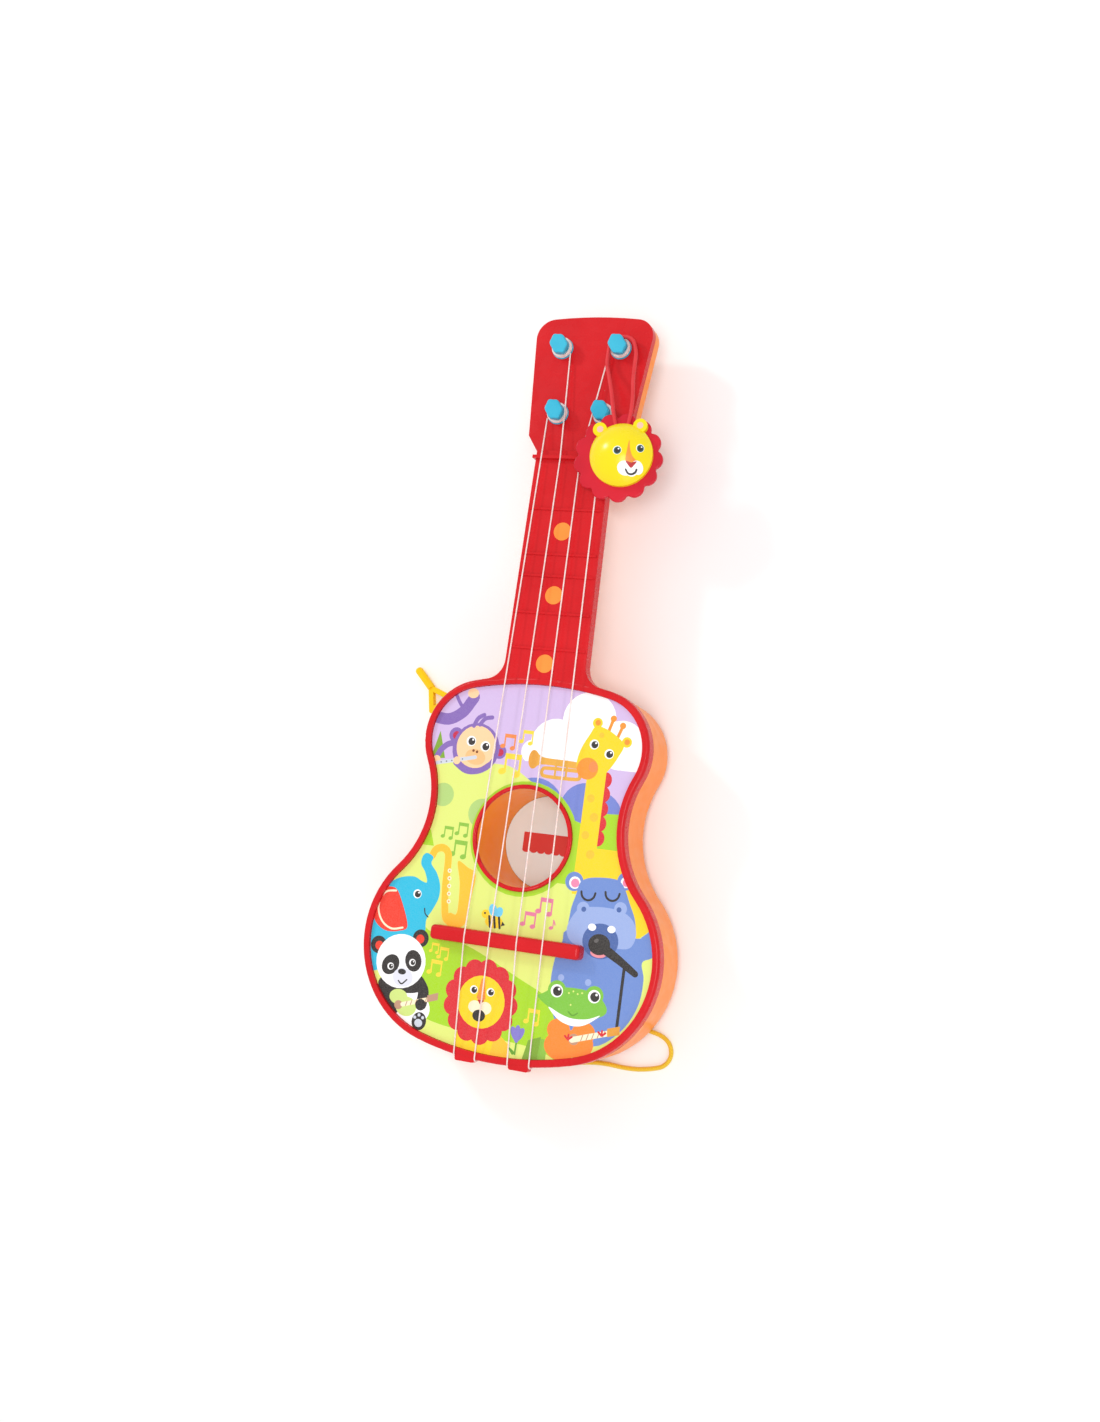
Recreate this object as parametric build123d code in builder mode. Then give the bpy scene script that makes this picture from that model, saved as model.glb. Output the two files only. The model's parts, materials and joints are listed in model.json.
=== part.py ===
"""Toy four-string guitar: two moulded shells, a picture label, a sound tube, four tuning pegs,
two looped strings, a lion charm on the upper right peg and a carrying cord with its toggle.

Millimetres. The guitar lies on its back: z = 0 is the back of the body, +Z comes out of the
face and +Y runs up the neck to the headstock. The origin is the middle of its length and width.
"""
import math
import os

from build123d import *

os.makedirs("parts", exist_ok=True)

# ---------------------------------------------------------------- body outline, at the label's edge
lower_bout_half = 83.4
lower_bout_radius = 52.7
lower_bout_y = -148.8
waist_radius = 58.9
upper_bout_half = 62.8
upper_bout_radius = 29.1
upper_bout_y = -35.4
label_bottom_y = -205.65
label_top_y = -2.6

# ---------------------------------------------------------------- shells
body_depth = 46.0            # back face to the crest of the rim
rim_depth = 8.0              # crest of the rim down to where the two shells meet
wall = 2.2
rim_width = 4.0
crest_round = 1.8
edge_round = 0.8             # along the fretboard's edges
deck_drop = 2.4              # crest of the rim down to the deck that carries the label
label_thickness = 0.4
label_gap = 0.2              # the label's edge to the rim
back_draft = 2.5             # degrees
back_round = 10.0
split_inset = 0.2            # the back shell's side stands this far inside the rim
boss_radius = 4.4
boss_meet_z = 20.0
boss_angles = (-62, 8, 35)   # degrees round its bout, for each boss of the right half
heel_round = 12.0
heel_wall = 0.8              # past the rim, between the body and the hollow neck
heel_reach = 4.0             # how far from the heel its corners are looked for

# ---------------------------------------------------------------- sound hole
hole_y = -87.4
tube_bore = 27.0
tube_wall = 1.6
ring_outer = 29.2
ring_height = 2.3
ring_groove = 0.5
hole_clearance = 0.2
disc_thickness = 1.2
sticker_thickness = 0.2
sticker_width = 32.0
sticker_height = 10.0
sticker_scallops = 7

# ---------------------------------------------------------------- neck
nut_y = 125.6
neck_half_nut = 22.3
neck_half_heel = 24.3
fretboard_drop = 0.4         # crest of the rim down to the fretboard
neck_depth = 12.0            # of the rounded orange back below the parting plane
neck_end = 3.4               # nut to the foot of the headstock
neck_lap = 0.8               # of the fretboard over the headstock
neck_back_lap = 1.5          # of the neck's rounded back into the body
fretted_length = 128.2       # nut to label, of the neck that the places from its nut are given for
fret_from_nut = (29.3, 55.0, 67.3, 88.3, 108.3)
fret_height = 0.8
fret_width = 1.2
fret_root = 1.6              # of each fret, sunk into the fretboard
fret_side_gap = 0.8          # a fret's end to the edge of the neck
dot_from_nut = (41.8, 78.0, 116.5)
dot_radius = 5.1
dot_proud = 0.2
dot_flange = 1.2
nut_width = 1.8
nut_overhang = 0.7
nut_rise = 3.0               # fretboard up to the nut's crest
nut_sunk = 3.6               # fretboard down to the nut's foot, inside the neck

# ---------------------------------------------------------------- headstock
head_tilt = 4.5              # degrees, leaning back
head_length = 82.25          # foot to the middle of the crown
head_foot_half = 22.4
head_shoulder = 10.3         # foot to the shoulder
head_shoulder_half = 29.8
head_top_half = 36.2
head_crown = 2.6             # rise of the top edge from its corners to its middle
head_corner_round = 11.0
head_front = 5.0
head_back = 8.0
head_round = 1.6             # along the headstock's back edges

# ---------------------------------------------------------------- tuning pegs
peg_upper_x = 17.6
peg_lower_x = 13.8
peg_upper_from_foot = 62.8
peg_lower_from_foot = 23.4
peg_shaft = 3.0
peg_clearance = 0.08
peg_collar = 6.2
collar_height = 0.8
drum_radius = 4.7
drum_play = 0.1              # over the turns of string
peg_neck = 4.0
neck_height = 2.6
knob_long = 6.3
knob_short = 4.8
knob_height = 2.9
knob_top_round = 1.0
knob_lobes = 6
knob_lobe_depth = 0.3
knob_turn = -55.0
peg_play = 0.1
peg_boss = 6.6
washer_radius = 4.6
washer_thickness = 1.0
recess_radius = 5.2
recess_depth = 2.6
peg_screw_shank = 1.0
peg_screw_head = 2.2
peg_screw_head_height = 1.1
peg_screw_length = 6.0
thread_gap = 0.02            # round the peg's and the charm's screws where they hold
washer_gap = 0.3             # round the screw in the washer
head_gap = 0.2               # round the charm's screw and its head

# ---------------------------------------------------------------- strings
string_diameter = 0.8
string_nut_x = (6.0, 17.5)
string_bridge_x = (8.0, 23.0)
string_tail_x = (9.7, 22.1)
slot_depth = 0.35
winding_turns = 3
turn_spacing = 0.98          # of the turns on a drum, in string diameters
winding_layer = 0.4          # string already wound under the turns that show
winding_gap = 0.3
hook_height = 4.8
hook_drop = 0.4              # crest of the rim down to the hook's top
hook_bend = 0.8
nut_bend = 4.0
string_seat = 0.05
hook_reach = 1.35
hook_corner_round = 1.2
string_seats_at_hook = 3     # seats that the string leans away at the hook

# ---------------------------------------------------------------- bridge
bridge_y = -144.2
bridge_length = 88.0
bridge_width = 8.0
bridge_rise = 5.9            # crest of the rim up to the bridge's crest
bridge_round = 2.4
bridge_top_round = 2.0
bridge_screw_x = 32.0

# ---------------------------------------------------------------- screws
screw_shank = 1.45
screw_hole = 1.5
screw_pass = 1.8
screw_head = 2.8
screw_head_height = 2.0
counterbore_radius = 3.3
counterbore_depth = 12.0
screw_reach = 14.0           # thread inside the front boss
neck_screw_from_nut = (28.0, 97.0)
neck_counterbore = 5.0
bridge_screw_reach = 5.0
screw_tip_gap = 0.5          # past the end of a screw, in its blind hole
screw_gap = 0.1              # round a shank that passes through the back shell
cross_long = 1.2             # the cross recess's arm, in head radii
cross_wide = 0.28            # its width, in head radii
cross_deep = 0.6             # its depth, in head heights

# ---------------------------------------------------------------- charm
charm_from_peg_x = 11.6
charm_from_nut_y = -0.6
charm_tilt = 7.5             # degrees, right side down
charm_rest = 0.4             # above the string that it lies on
charm_back_radius = 17.0
charm_back_thickness = 2.5
charm_back_round = 1.0
mane_radius = 22.3
mane_scallops = 13
mane_scallop_radius = 5.4
mane_notch_round = 1.2
mane_edge_round = 0.8
mane_thickness = 3.0
charm_head_radius = 17.5
charm_head_skirt = 2.6
charm_head_dome = 8.6
charm_head_wall = 2.0
dome_middle = 68.0           # degrees up the cap, of a point that its arc passes through
charm_head_offset = (2.2, 0.8)
ear_radius = 3.9
ear_thickness = 3.4
ear_spread = 36.5            # degrees each side of the face's upright
face_turn = 9.0              # degrees
charm_gap = 0.05
loop_diameter = 2.2
loop_gap = 0.3

# ---------------------------------------------------------------- carrying cord
cord_diameter = 2.5
hank_length = 60.0
hank_width = 13.0
hank_height = 8.0
hank_x = -14.0
hank_y = 68.0
hank_corner = 5.85           # round its ends
hank_top_round = 2.4
toggle_thickness = 4.6
toggle_eye_wall = 3.0
toggle_eye_height = 3.7
toggle_tip_round = 1.84
socket_radius = 2.5
socket_depth = 9.0
socket_z = 20.0
notch_width = 3.8
notch_depth = 8.5
notch_height = 3.9
notch_block = 3.0

# ---------------------------------------------------------------- derived places
crest_z = body_depth
split_z = crest_z - rim_depth    # where the red front shell meets the orange back shell
fretboard_z = crest_z - fretboard_drop
nut_crest_z = fretboard_z + nut_rise
nut_root_z = fretboard_z - nut_sunk
bridge_crest_z = crest_z + bridge_rise
deck_z = crest_z - deck_drop
label_z = deck_z + label_thickness
deck_under_z = deck_z - wall
tilt = math.radians(head_tilt)
neck_foot_y = nut_y + neck_end
neck_joint_y = neck_foot_y - head_front * math.sin(tilt)
head_face_z = split_z + head_front * math.cos(tilt)
draft_slope = math.tan(math.radians(back_draft))
head_normal = (0, math.sin(tilt), math.cos(tilt))
string_radius = string_diameter / 2
drum_height = winding_turns * string_diameter + drum_play
neck_stretch = (nut_y - label_top_y) / fretted_length
from_floor = (Align.CENTER, Align.CENTER, Align.MIN)


def head_plane(height=0.0):
    """The plane of the headstock's face, raised by height along its own normal."""
    base = Plane(origin=(0, neck_foot_y, head_face_z), x_dir=(1, 0, 0), z_dir=head_normal)
    return base.offset(height)


def on_head(x, from_foot, height):
    """A point given in the headstock's own axes, as a point of the guitar."""
    return head_plane(height).from_local_coords(Vector(x, from_foot, 0))


def bout_circles():
    """Centre and radius of each tangent circle of the outline's right half, from the tail up."""
    lower = (lower_bout_half - lower_bout_radius, lower_bout_y)
    upper = (upper_bout_half - upper_bout_radius, upper_bout_y)
    to_tail = lower_bout_y - label_bottom_y
    to_top = label_top_y - upper_bout_y
    tail_radius = (lower[0] ** 2 + to_tail**2 - lower_bout_radius**2) / (2 * (to_tail - lower_bout_radius))
    top_radius = (upper[0] ** 2 + to_top**2 - upper_bout_radius**2) / (2 * (to_top - upper_bout_radius))
    reach_lower = lower_bout_radius + waist_radius
    reach_upper = upper_bout_radius + waist_radius
    span = math.dist(lower, upper)
    along = (reach_lower**2 - reach_upper**2 + span**2) / (2 * span)
    across = math.sqrt(reach_lower**2 - along**2)
    step = ((upper[0] - lower[0]) / span, (upper[1] - lower[1]) / span)
    waist = (
        lower[0] + step[0] * along + step[1] * across,
        lower[1] + step[1] * along - step[0] * across,
    )
    return (
        ((0, label_bottom_y + tail_radius), tail_radius, 1),
        (lower, lower_bout_radius, 1),
        (waist, waist_radius, -1),
        (upper, upper_bout_radius, 1),
        ((0, label_top_y - top_radius), top_radius, 1),
    )


def touch_point(first, second, offset):
    """Where two neighbouring circles of the outline touch, with the outline moved out by offset."""
    (a, ra, side_a), (b, rb, side_b) = first, second
    radius = ra + side_a * offset
    gap = math.dist(a, b)
    away = 1 if side_a != side_b or ra > rb else -1
    return (a[0] + (b[0] - a[0]) / gap * radius * away, a[1] + (b[1] - a[1]) / gap * radius * away)


def arc_middle(circle, start, end, offset):
    """A point halfway along the outline's arc between two of its ends."""
    centre, radius, side = circle
    middle = ((start[0] + end[0]) / 2 - centre[0], (start[1] + end[1]) / 2 - centre[1])
    scale = (radius + side * offset) / math.hypot(*middle)
    return (centre[0] + middle[0] * scale, centre[1] + middle[1] * scale)


def outline(offset, height):
    """The body's outline as a face, offset from the label's edge."""
    circles = bout_circles()
    joints = [touch_point(a, b, offset) for a, b in zip(circles, circles[1:])]
    tail = (0, label_bottom_y - offset)
    top = (0, label_top_y + offset)
    ends = [tail, *joints, top]
    with BuildSketch(Plane.XY.offset(height)) as face:
        with BuildLine():
            for circle, start, end in zip(circles, ends, ends[1:]):
                ThreePointArc(start, arc_middle(circle, start, end, offset), end)
            mirror(about=Plane.YZ)
        make_face()
    return face.sketch


def tail_y(x, offset):
    """The y of the outline's tail at x, offset from the label's edge."""
    (_, centre_y), radius, _ = bout_circles()[0]
    return centre_y - math.sqrt((radius + offset) ** 2 - x**2)


def neck_half(y):
    """Half the neck's width at y."""
    share = (nut_y - y) / (nut_y - label_top_y)
    return neck_half_nut + (neck_half_heel - neck_half_nut) * share


def neck_face(inset, start_y, end_y, height):
    """The neck's tapered outline between two places along it."""
    with BuildSketch(Plane.XY.offset(height)) as face:
        with BuildLine():
            Polyline(
                (neck_half(start_y) - inset, start_y),
                (neck_half(end_y) - inset, end_y),
                (-neck_half(end_y) + inset, end_y),
                (-neck_half(start_y) + inset, start_y),
                close=True,
            )
        make_face()
    return face.sketch


def head_face(inset, height):
    """The headstock's outline in its own tilted plane."""
    crown_radius = (head_top_half**2 + head_crown**2) / (2 * head_crown)
    side_top = head_length - head_crown - inset
    with BuildSketch(head_plane(height)) as face:
        with BuildLine():
            Line((-head_foot_half + inset, inset), (head_foot_half - inset, inset))
            Polyline(
                (head_foot_half - inset, inset),
                (head_shoulder_half - inset, head_shoulder + inset / 2),
                (head_top_half - inset, side_top),
            )
            RadiusArc((head_top_half - inset, side_top), (-head_top_half + inset, side_top), -crown_radius)
            Polyline(
                (-head_top_half + inset, side_top),
                (-head_shoulder_half + inset, head_shoulder + inset / 2),
                (-head_foot_half + inset, inset),
            )
        make_face()
        corners = face.vertices().group_by(Axis.Y)[-1]
        fillet(corners, radius=head_corner_round - inset)
    return face.sketch


def body_bosses():
    """The middles of the six screw bosses, each inside its own bout."""
    inset = back_round + boss_radius + 1
    _, (lower, lower_radius, _), _, (upper, upper_radius, _), _ = bout_circles()
    bouts = ((lower, lower_radius), (lower, lower_radius), (upper, upper_radius))
    places = []
    for (centre, radius), angle in zip(bouts, boss_angles):
        reach = radius + rim_width - inset
        x = centre[0] + reach * math.cos(math.radians(angle))
        y = centre[1] + reach * math.sin(math.radians(angle))
        places += [(x, y), (-x, y)]
    return places


boss_places = body_bosses()
neck_screw_places = [(0, nut_y - neck_stretch * distance) for distance in neck_screw_from_nut]
peg_places = (
    (-peg_lower_x, peg_lower_from_foot),
    (-peg_upper_x, peg_upper_from_foot),
    (peg_upper_x, peg_upper_from_foot),
    (peg_lower_x, peg_lower_from_foot),
)
dot_places = [(0, nut_y - neck_stretch * distance) for distance in dot_from_nut]
bridge_screw_places = [(-bridge_screw_x, bridge_y), (0, bridge_y), (bridge_screw_x, bridge_y)]


def save(piece, name):
    """Label a finished piece and write its file."""
    piece.label = name
    export_step(piece, f"parts/{name}.step")


# ---------------------------------------------------------------- routes of the strings
nut_string_z = nut_crest_z - slot_depth + string_radius
bridge_string_z = bridge_crest_z - slot_depth + string_radius
crest_centre_z = crest_z - crest_round
hook_top_z = crest_z - hook_drop
hook_under_z = hook_top_z - hook_height - string_radius - string_seat
drum_base = peg_play + collar_height
knob_base = drum_base + drum_height + neck_height
winding_radius = drum_radius + winding_layer + string_radius
winding_outer = winding_radius + string_radius
string_choices = ((-1, 1), (-1, 0), (1, 0), (1, 1))
string_start = math.sqrt((winding_outer + string_radius + winding_gap) ** 2 - winding_radius**2)


def string_half(side, which):
    """Points from a peg's winding over the nut and bridge to the tail; which is 0 inside, 1 outside."""
    if which:
        place = (side * peg_lower_x, peg_lower_from_foot)
        turn = side
    else:
        place = (side * peg_upper_x, peg_upper_from_foot)
        turn = -side
    off_peg = on_head(place[0] + turn * winding_radius, place[1], drum_base + drum_height / 2)
    over_nut = Vector(side * string_nut_x[which], nut_y, nut_string_z)
    bridge_x = side * string_bridge_x[which]
    tail_x = side * string_tail_x[which]
    past_rim_y = tail_y(tail_x, rim_width) - string_radius - string_seat
    drop = (bridge_string_z - crest_centre_z - crest_round - string_radius) / (bridge_y - past_rim_y)
    over_rim_z = crest_centre_z + crest_round + string_radius + string_seat - drop * crest_round
    start = off_peg + (over_nut - off_peg).normalized() * string_start
    return [
        tuple(start),
        tuple(over_nut),
        (bridge_x, bridge_y, bridge_string_z),
        (tail_x, past_rim_y, over_rim_z),
        (tail_x, past_rim_y - string_seats_at_hook * string_seat, hook_under_z),
    ]


def saddle_cut(side, which, corner):
    """The channel that a string presses into where it bends over the nut (1) or the bridge (2)."""
    before, bend, after = [Vector(*point) for point in string_half(side, which)[corner - 1 : corner + 2]]
    start = bend + (before - bend).normalized() * 2 * bridge_width
    end = bend + (after - bend).normalized() * 2 * bridge_width
    with BuildPart() as channel:
        with BuildLine() as path:
            FilletPolyline(start, bend, end, radius=nut_bend)
        with BuildSketch(Plane(origin=start, z_dir=bend - start)):
            Circle(string_radius + string_seat / 2)
        sweep(path=path.wire())
    return channel.part


# ================================================================ front shell
heel_y = label_top_y + rim_width

with BuildSketch(Plane.XY.offset(split_z)) as heel_sketch:
    add(outline(rim_width, 0))
    add(neck_face(0, label_top_y - 2 * rim_width, neck_foot_y + neck_lap, 0))
    roots = heel_sketch.vertices().filter_by_position(Axis.Y, heel_y - heel_reach, heel_y + heel_reach)
    fillet([v for v in roots if abs(abs(v.X) - neck_half_heel) < heel_reach / 2], radius=heel_round)
    add(outline(rim_width - crest_round, 0), mode=Mode.SUBTRACT)
    with Locations((0, label_top_y)):
        Rectangle(
            2 * (neck_half_heel + heel_round),
            neck_foot_y + neck_lap - label_top_y,
            align=(Align.CENTER, Align.MIN),
            mode=Mode.INTERSECT,
        )

with BuildPart() as neck_block:
    add(heel_sketch.sketch)
    extrude(amount=fretboard_z - split_z)
    top_edges = neck_block.faces().sort_by(Axis.Z)[-1].edges()
    long_edges = [edge for edge in top_edges if edge.length > 3 * neck_half_heel]
    fillet(long_edges, radius=edge_round)

with BuildPart() as front_shell:
    add(outline(rim_width, split_z))
    extrude(amount=crest_z - split_z)
    fillet(front_shell.edges().group_by(Axis.Z)[-1], radius=crest_round)
    add(neck_block.part)
    add(head_face(0, 0))
    extrude(amount=-head_front)
    # recess for the label, with the inner side of the rim rounded
    add(outline(0, deck_z))
    extrude(amount=crest_z, mode=Mode.SUBTRACT)
    # hollows under the deck, the fretboard and the headstock
    add(outline(rim_width - wall, split_z))
    extrude(amount=deck_under_z - split_z, mode=Mode.SUBTRACT)
    add(neck_face(wall, heel_y + heel_wall, neck_joint_y - wall, split_z))
    extrude(amount=fretboard_z - wall - split_z, mode=Mode.SUBTRACT)
    add(head_face(wall, -head_front))
    extrude(amount=head_front - wall, mode=Mode.SUBTRACT)
    # screw bosses
    with BuildSketch(Plane.XY.offset(boss_meet_z)):
        with Locations(*boss_places):
            Circle(boss_radius)
    extrude(amount=deck_under_z - boss_meet_z)
    with BuildSketch(Plane.XY.offset(boss_meet_z)):
        with Locations(*boss_places):
            Circle(screw_hole)
    extrude(amount=screw_reach + 2 * screw_tip_gap, mode=Mode.SUBTRACT)
    with BuildSketch(Plane.XY.offset(split_z)):
        with Locations(*neck_screw_places):
            Circle(boss_radius)
    extrude(amount=fretboard_z - wall - split_z)
    with BuildSketch(Plane.XY.offset(split_z)):
        with Locations(*neck_screw_places):
            Circle(screw_hole)
    extrude(amount=fretboard_z - wall - split_z, mode=Mode.SUBTRACT)
    # peg bearings in the headstock
    with BuildSketch(head_plane(-head_front)):
        with Locations(*peg_places):
            Circle(peg_boss)
    extrude(amount=head_front - wall)
    with BuildSketch(head_plane(-head_front)):
        with Locations(*peg_places):
            Circle(peg_shaft + peg_clearance)
    extrude(amount=head_front, mode=Mode.SUBTRACT)
    # sound hole
    with BuildSketch(Plane.XY.offset(deck_under_z)):
        with Locations((0, hole_y)):
            Circle(tube_bore + tube_wall + hole_clearance)
    extrude(amount=wall, mode=Mode.SUBTRACT)
    # holes for the bridge's pegs
    with BuildSketch(Plane.XY.offset(deck_under_z)):
        with Locations(*bridge_screw_places):
            Circle(screw_pass)
    extrude(amount=wall, mode=Mode.SUBTRACT)
    # holes for the dots
    with BuildSketch(Plane.XY.offset(fretboard_z - wall)):
        with Locations(*dot_places):
            Circle(dot_radius + charm_gap)
    extrude(amount=wall, mode=Mode.SUBTRACT)
    # frets
    for distance in fret_from_nut:
        fret_y = nut_y - neck_stretch * distance
        with BuildSketch(Plane.XY.offset(fretboard_z - fret_root)):
            with Locations((0, fret_y)):
                Rectangle(2 * (neck_half(fret_y) - fret_side_gap), fret_width)
        extrude(amount=fret_root + fret_height)
    # nut, with a slot for each string
    with BuildSketch(Plane.XY.offset(nut_root_z)):
        with Locations((0, nut_y)):
            Rectangle(2 * (neck_half_nut + nut_overhang), nut_width)
    extrude(amount=nut_crest_z - nut_root_z)
    for side, which in string_choices:
        add(saddle_cut(side, which, 1), mode=Mode.SUBTRACT)
    # tail hooks
    for side in (-1, 1):
        hook_mid = side * (string_tail_x[0] + string_tail_x[1]) / 2
        hook_half = (string_tail_x[1] - string_tail_x[0]) / 2 - string_radius
        tip_y = label_bottom_y - rim_width - hook_reach
        base_y = tail_y(string_tail_x[1], rim_width - wall / 2)
        with BuildSketch(Plane.XY.offset(hook_top_z - hook_height)):
            with Locations((hook_mid, (tip_y + base_y) / 2)):
                RectangleRounded(2 * hook_half, base_y - tip_y, hook_corner_round)
        extrude(amount=hook_height)
save(front_shell.part, "front_shell")

# ================================================================ back shell
side_offset = rim_width - split_inset


def back_body(inset, floor):
    """The body's tapered bowl below the parting plane, down to a rounded floor."""
    with BuildPart() as bowl:
        add(outline(side_offset - inset, split_z))
        extrude(amount=-(split_z - floor), taper=back_draft)
        fillet(bowl.edges().group_by(Axis.Z)[0], radius=back_round - inset)
    return bowl.part


def neck_back(inset, start_y, end_y):
    """The neck's rounded back below the parting plane."""
    with BuildPart() as half_round:
        for y in (start_y, end_y):
            half = neck_half(y) - inset
            with BuildSketch(Plane.XZ.offset(-y)):
                with BuildLine():
                    ThreePointArc((-half, split_z), (0, split_z - neck_depth + inset), (half, split_z))
                    Line((half, split_z), (-half, split_z))
                make_face()
        loft()
    return half_round.part


outer_body = back_body(0, 0)
socket_wall_x = -(upper_bout_half + side_offset - (split_z - socket_z) * draft_slope)
lower_centre = bout_circles()[1][0]
notch_angle = math.radians(-38.4)
notch_out = (math.cos(notch_angle), math.sin(notch_angle))
notch_reach = lower_bout_radius + side_offset - split_z * draft_slope
notch_mouth = (lower_centre[0] + notch_reach * notch_out[0], lower_centre[1] + notch_reach * notch_out[1])
notch_heading = -15.0
notch_along = Vector(1, 0, 0).rotate(Axis.Z, notch_heading)
notch_plane = Plane(origin=(*notch_mouth, 0), x_dir=notch_along, z_dir=(0, 0, 1))

with BuildPart() as body_fittings:
    # screw towers, the toggle's socket and the block round the cord's notch, trimmed to the bowl
    with BuildSketch():
        with Locations(*boss_places):
            Circle(boss_radius)
    extrude(amount=boss_meet_z)
    with BuildSketch(Plane(origin=(socket_wall_x, upper_bout_y, socket_z), z_dir=(1, 0, 0))):
        Circle(socket_radius + wall)
    extrude(amount=socket_depth + wall)
    with BuildSketch(notch_plane):
        with Locations((-(notch_depth + notch_block) / 2 + notch_block, 0)):
            Rectangle(notch_depth + notch_block + 2 * notch_block, notch_width + 2 * notch_block)
    extrude(amount=notch_height + notch_block)
    add(outer_body, mode=Mode.INTERSECT)

with BuildPart() as head_block:
    add(head_face(0, -head_front))
    extrude(amount=-head_back)
    fillet(head_block.faces().sort_by(Axis.Z)[0].edges().sort_by(Axis.Y)[1:], radius=head_round)

with BuildPart() as back_shell:
    add(outer_body)
    add(back_body(wall, wall), mode=Mode.SUBTRACT)
    add(body_fittings.part)
    add(neck_back(0, heel_y - neck_back_lap, neck_joint_y))
    add(neck_back(wall, heel_y + wall, neck_joint_y - wall), mode=Mode.SUBTRACT)
    add(head_block.part)
    add(head_face(wall, -head_front))
    extrude(amount=-(head_back - wall), mode=Mode.SUBTRACT)
    # screw holes with their counterbores
    with Locations(*[(x, y, 0) for x, y in boss_places]):
        for radius, depth in ((screw_hole + screw_gap, boss_meet_z), (counterbore_radius, counterbore_depth)):
            Cylinder(radius, depth, align=from_floor, mode=Mode.SUBTRACT)
    # neck screw towers
    with BuildSketch(Plane.XY.offset(split_z)):
        with Locations(*neck_screw_places):
            Circle(boss_radius)
    extrude(amount=-(neck_depth - wall))
    with BuildSketch(Plane.XY.offset(split_z)):
        with Locations(*neck_screw_places):
            Circle(screw_hole + screw_gap)
    extrude(amount=-neck_depth, mode=Mode.SUBTRACT)
    with BuildSketch(Plane.XY.offset(split_z - neck_depth + neck_counterbore)):
        with Locations(*neck_screw_places):
            Circle(counterbore_radius)
    extrude(amount=-neck_depth, mode=Mode.SUBTRACT)
    # peg bearings with a recess for each washer
    with BuildSketch(head_plane(-head_front)):
        with Locations(*peg_places):
            Circle(peg_boss)
    extrude(amount=-(head_back - head_round))
    with BuildSketch(head_plane(-head_front)):
        with Locations(*peg_places):
            Circle(peg_shaft + peg_clearance)
    extrude(amount=-head_back, mode=Mode.SUBTRACT)
    with BuildSketch(head_plane(-head_front - head_back + recess_depth)):
        with Locations(*peg_places):
            Circle(recess_radius)
    extrude(amount=-2 * recess_depth, mode=Mode.SUBTRACT)
    # socket for the cord's toggle
    with BuildSketch(Plane(origin=(socket_wall_x + socket_depth, upper_bout_y, socket_z), z_dir=(-1, 0, 0))):
        Circle(socket_radius)
    extrude(amount=2 * socket_depth, mode=Mode.SUBTRACT)
    # notch that the cord comes out of
    with BuildSketch(notch_plane):
        with Locations((-notch_depth, 0)):
            Rectangle(4 * notch_depth, notch_width, align=(Align.MIN, Align.CENTER))
    extrude(amount=notch_height, mode=Mode.SUBTRACT)
save(back_shell.part, "back_shell")

# ================================================================ screws


def cross_screw(head_radius, head_height, shank_radius, shank_length):
    """A pan-head screw, head down, with the underside of its head at the origin."""
    with BuildPart() as screw:
        Cylinder(shank_radius, shank_length, align=from_floor)
        Cylinder(head_radius, head_height, align=(Align.CENTER, Align.CENTER, Align.MAX))
        fillet(screw.edges().filter_by(GeomType.CIRCLE).group_by(Axis.Z)[0], radius=head_height / 3)
        with BuildSketch(Plane.XY.offset(-head_height)):
            Rectangle(head_radius * cross_long, head_radius * cross_wide)
            Rectangle(head_radius * cross_wide, head_radius * cross_long)
        extrude(amount=head_height * cross_deep, mode=Mode.SUBTRACT)
    return screw.part


body_screw_length = boss_meet_z - counterbore_depth + screw_reach
body_screw = cross_screw(screw_head, screw_head_height, screw_shank, body_screw_length)
with BuildPart() as body_screws:
    with Locations(*[(x, y, counterbore_depth) for x, y in boss_places]):
        add(body_screw)
save(body_screws.part, "body_screws")

neck_seat_z = split_z - neck_depth + neck_counterbore
neck_screw_length = fretboard_z - wall - neck_seat_z - screw_tip_gap
neck_screw = cross_screw(screw_head, screw_head_height, screw_shank, neck_screw_length)
with BuildPart() as neck_screws:
    with Locations(*[(x, y, neck_seat_z) for x, y in neck_screw_places]):
        add(neck_screw)
save(neck_screws.part, "neck_screws")

bridge_screw_length = label_z - deck_under_z + bridge_screw_reach
bridge_screw = cross_screw(screw_head, screw_head_height, screw_shank, bridge_screw_length)
with BuildPart() as bridge_screws:
    with Locations(*[(x, y, deck_under_z) for x, y in bridge_screw_places]):
        add(bridge_screw)
save(bridge_screws.part, "bridge_screws")

# ================================================================ label
with BuildPart() as face_label:
    add(outline(-label_gap, deck_z))
    extrude(amount=label_thickness)
    with BuildSketch(Plane.XY.offset(deck_z)):
        with Locations((0, hole_y)):
            Circle(ring_outer + label_gap)
        with Locations(*bridge_screw_places):
            Circle(screw_pass)
    extrude(amount=label_thickness, mode=Mode.SUBTRACT)
save(face_label.part, "face_label")

# ================================================================ sound hole
hole_axis = Axis((0, hole_y, 0), (0, 0, 1))
hole_section = Plane(origin=(0, hole_y, 0), x_dir=(1, 0, 0), z_dir=(0, -1, 0))

with BuildPart() as sound_hole_ring:
    with BuildSketch(hole_section):
        with BuildLine():
            Polyline((tube_bore, deck_z), (ring_outer, deck_z), (ring_outer, deck_z + ring_height))
            ring_middle = (tube_bore + ring_outer) / 2
            Polyline(
                (ring_outer, deck_z + ring_height),
                (ring_middle, deck_z + ring_height - ring_groove),
                (tube_bore, deck_z + ring_height),
                (tube_bore, deck_z),
            )
        make_face()
    revolve(axis=hole_axis)
    fillet(sound_hole_ring.edges().group_by(Axis.Z)[-1], radius=ring_groove)
save(sound_hole_ring.part, "sound_hole_ring")

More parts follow.
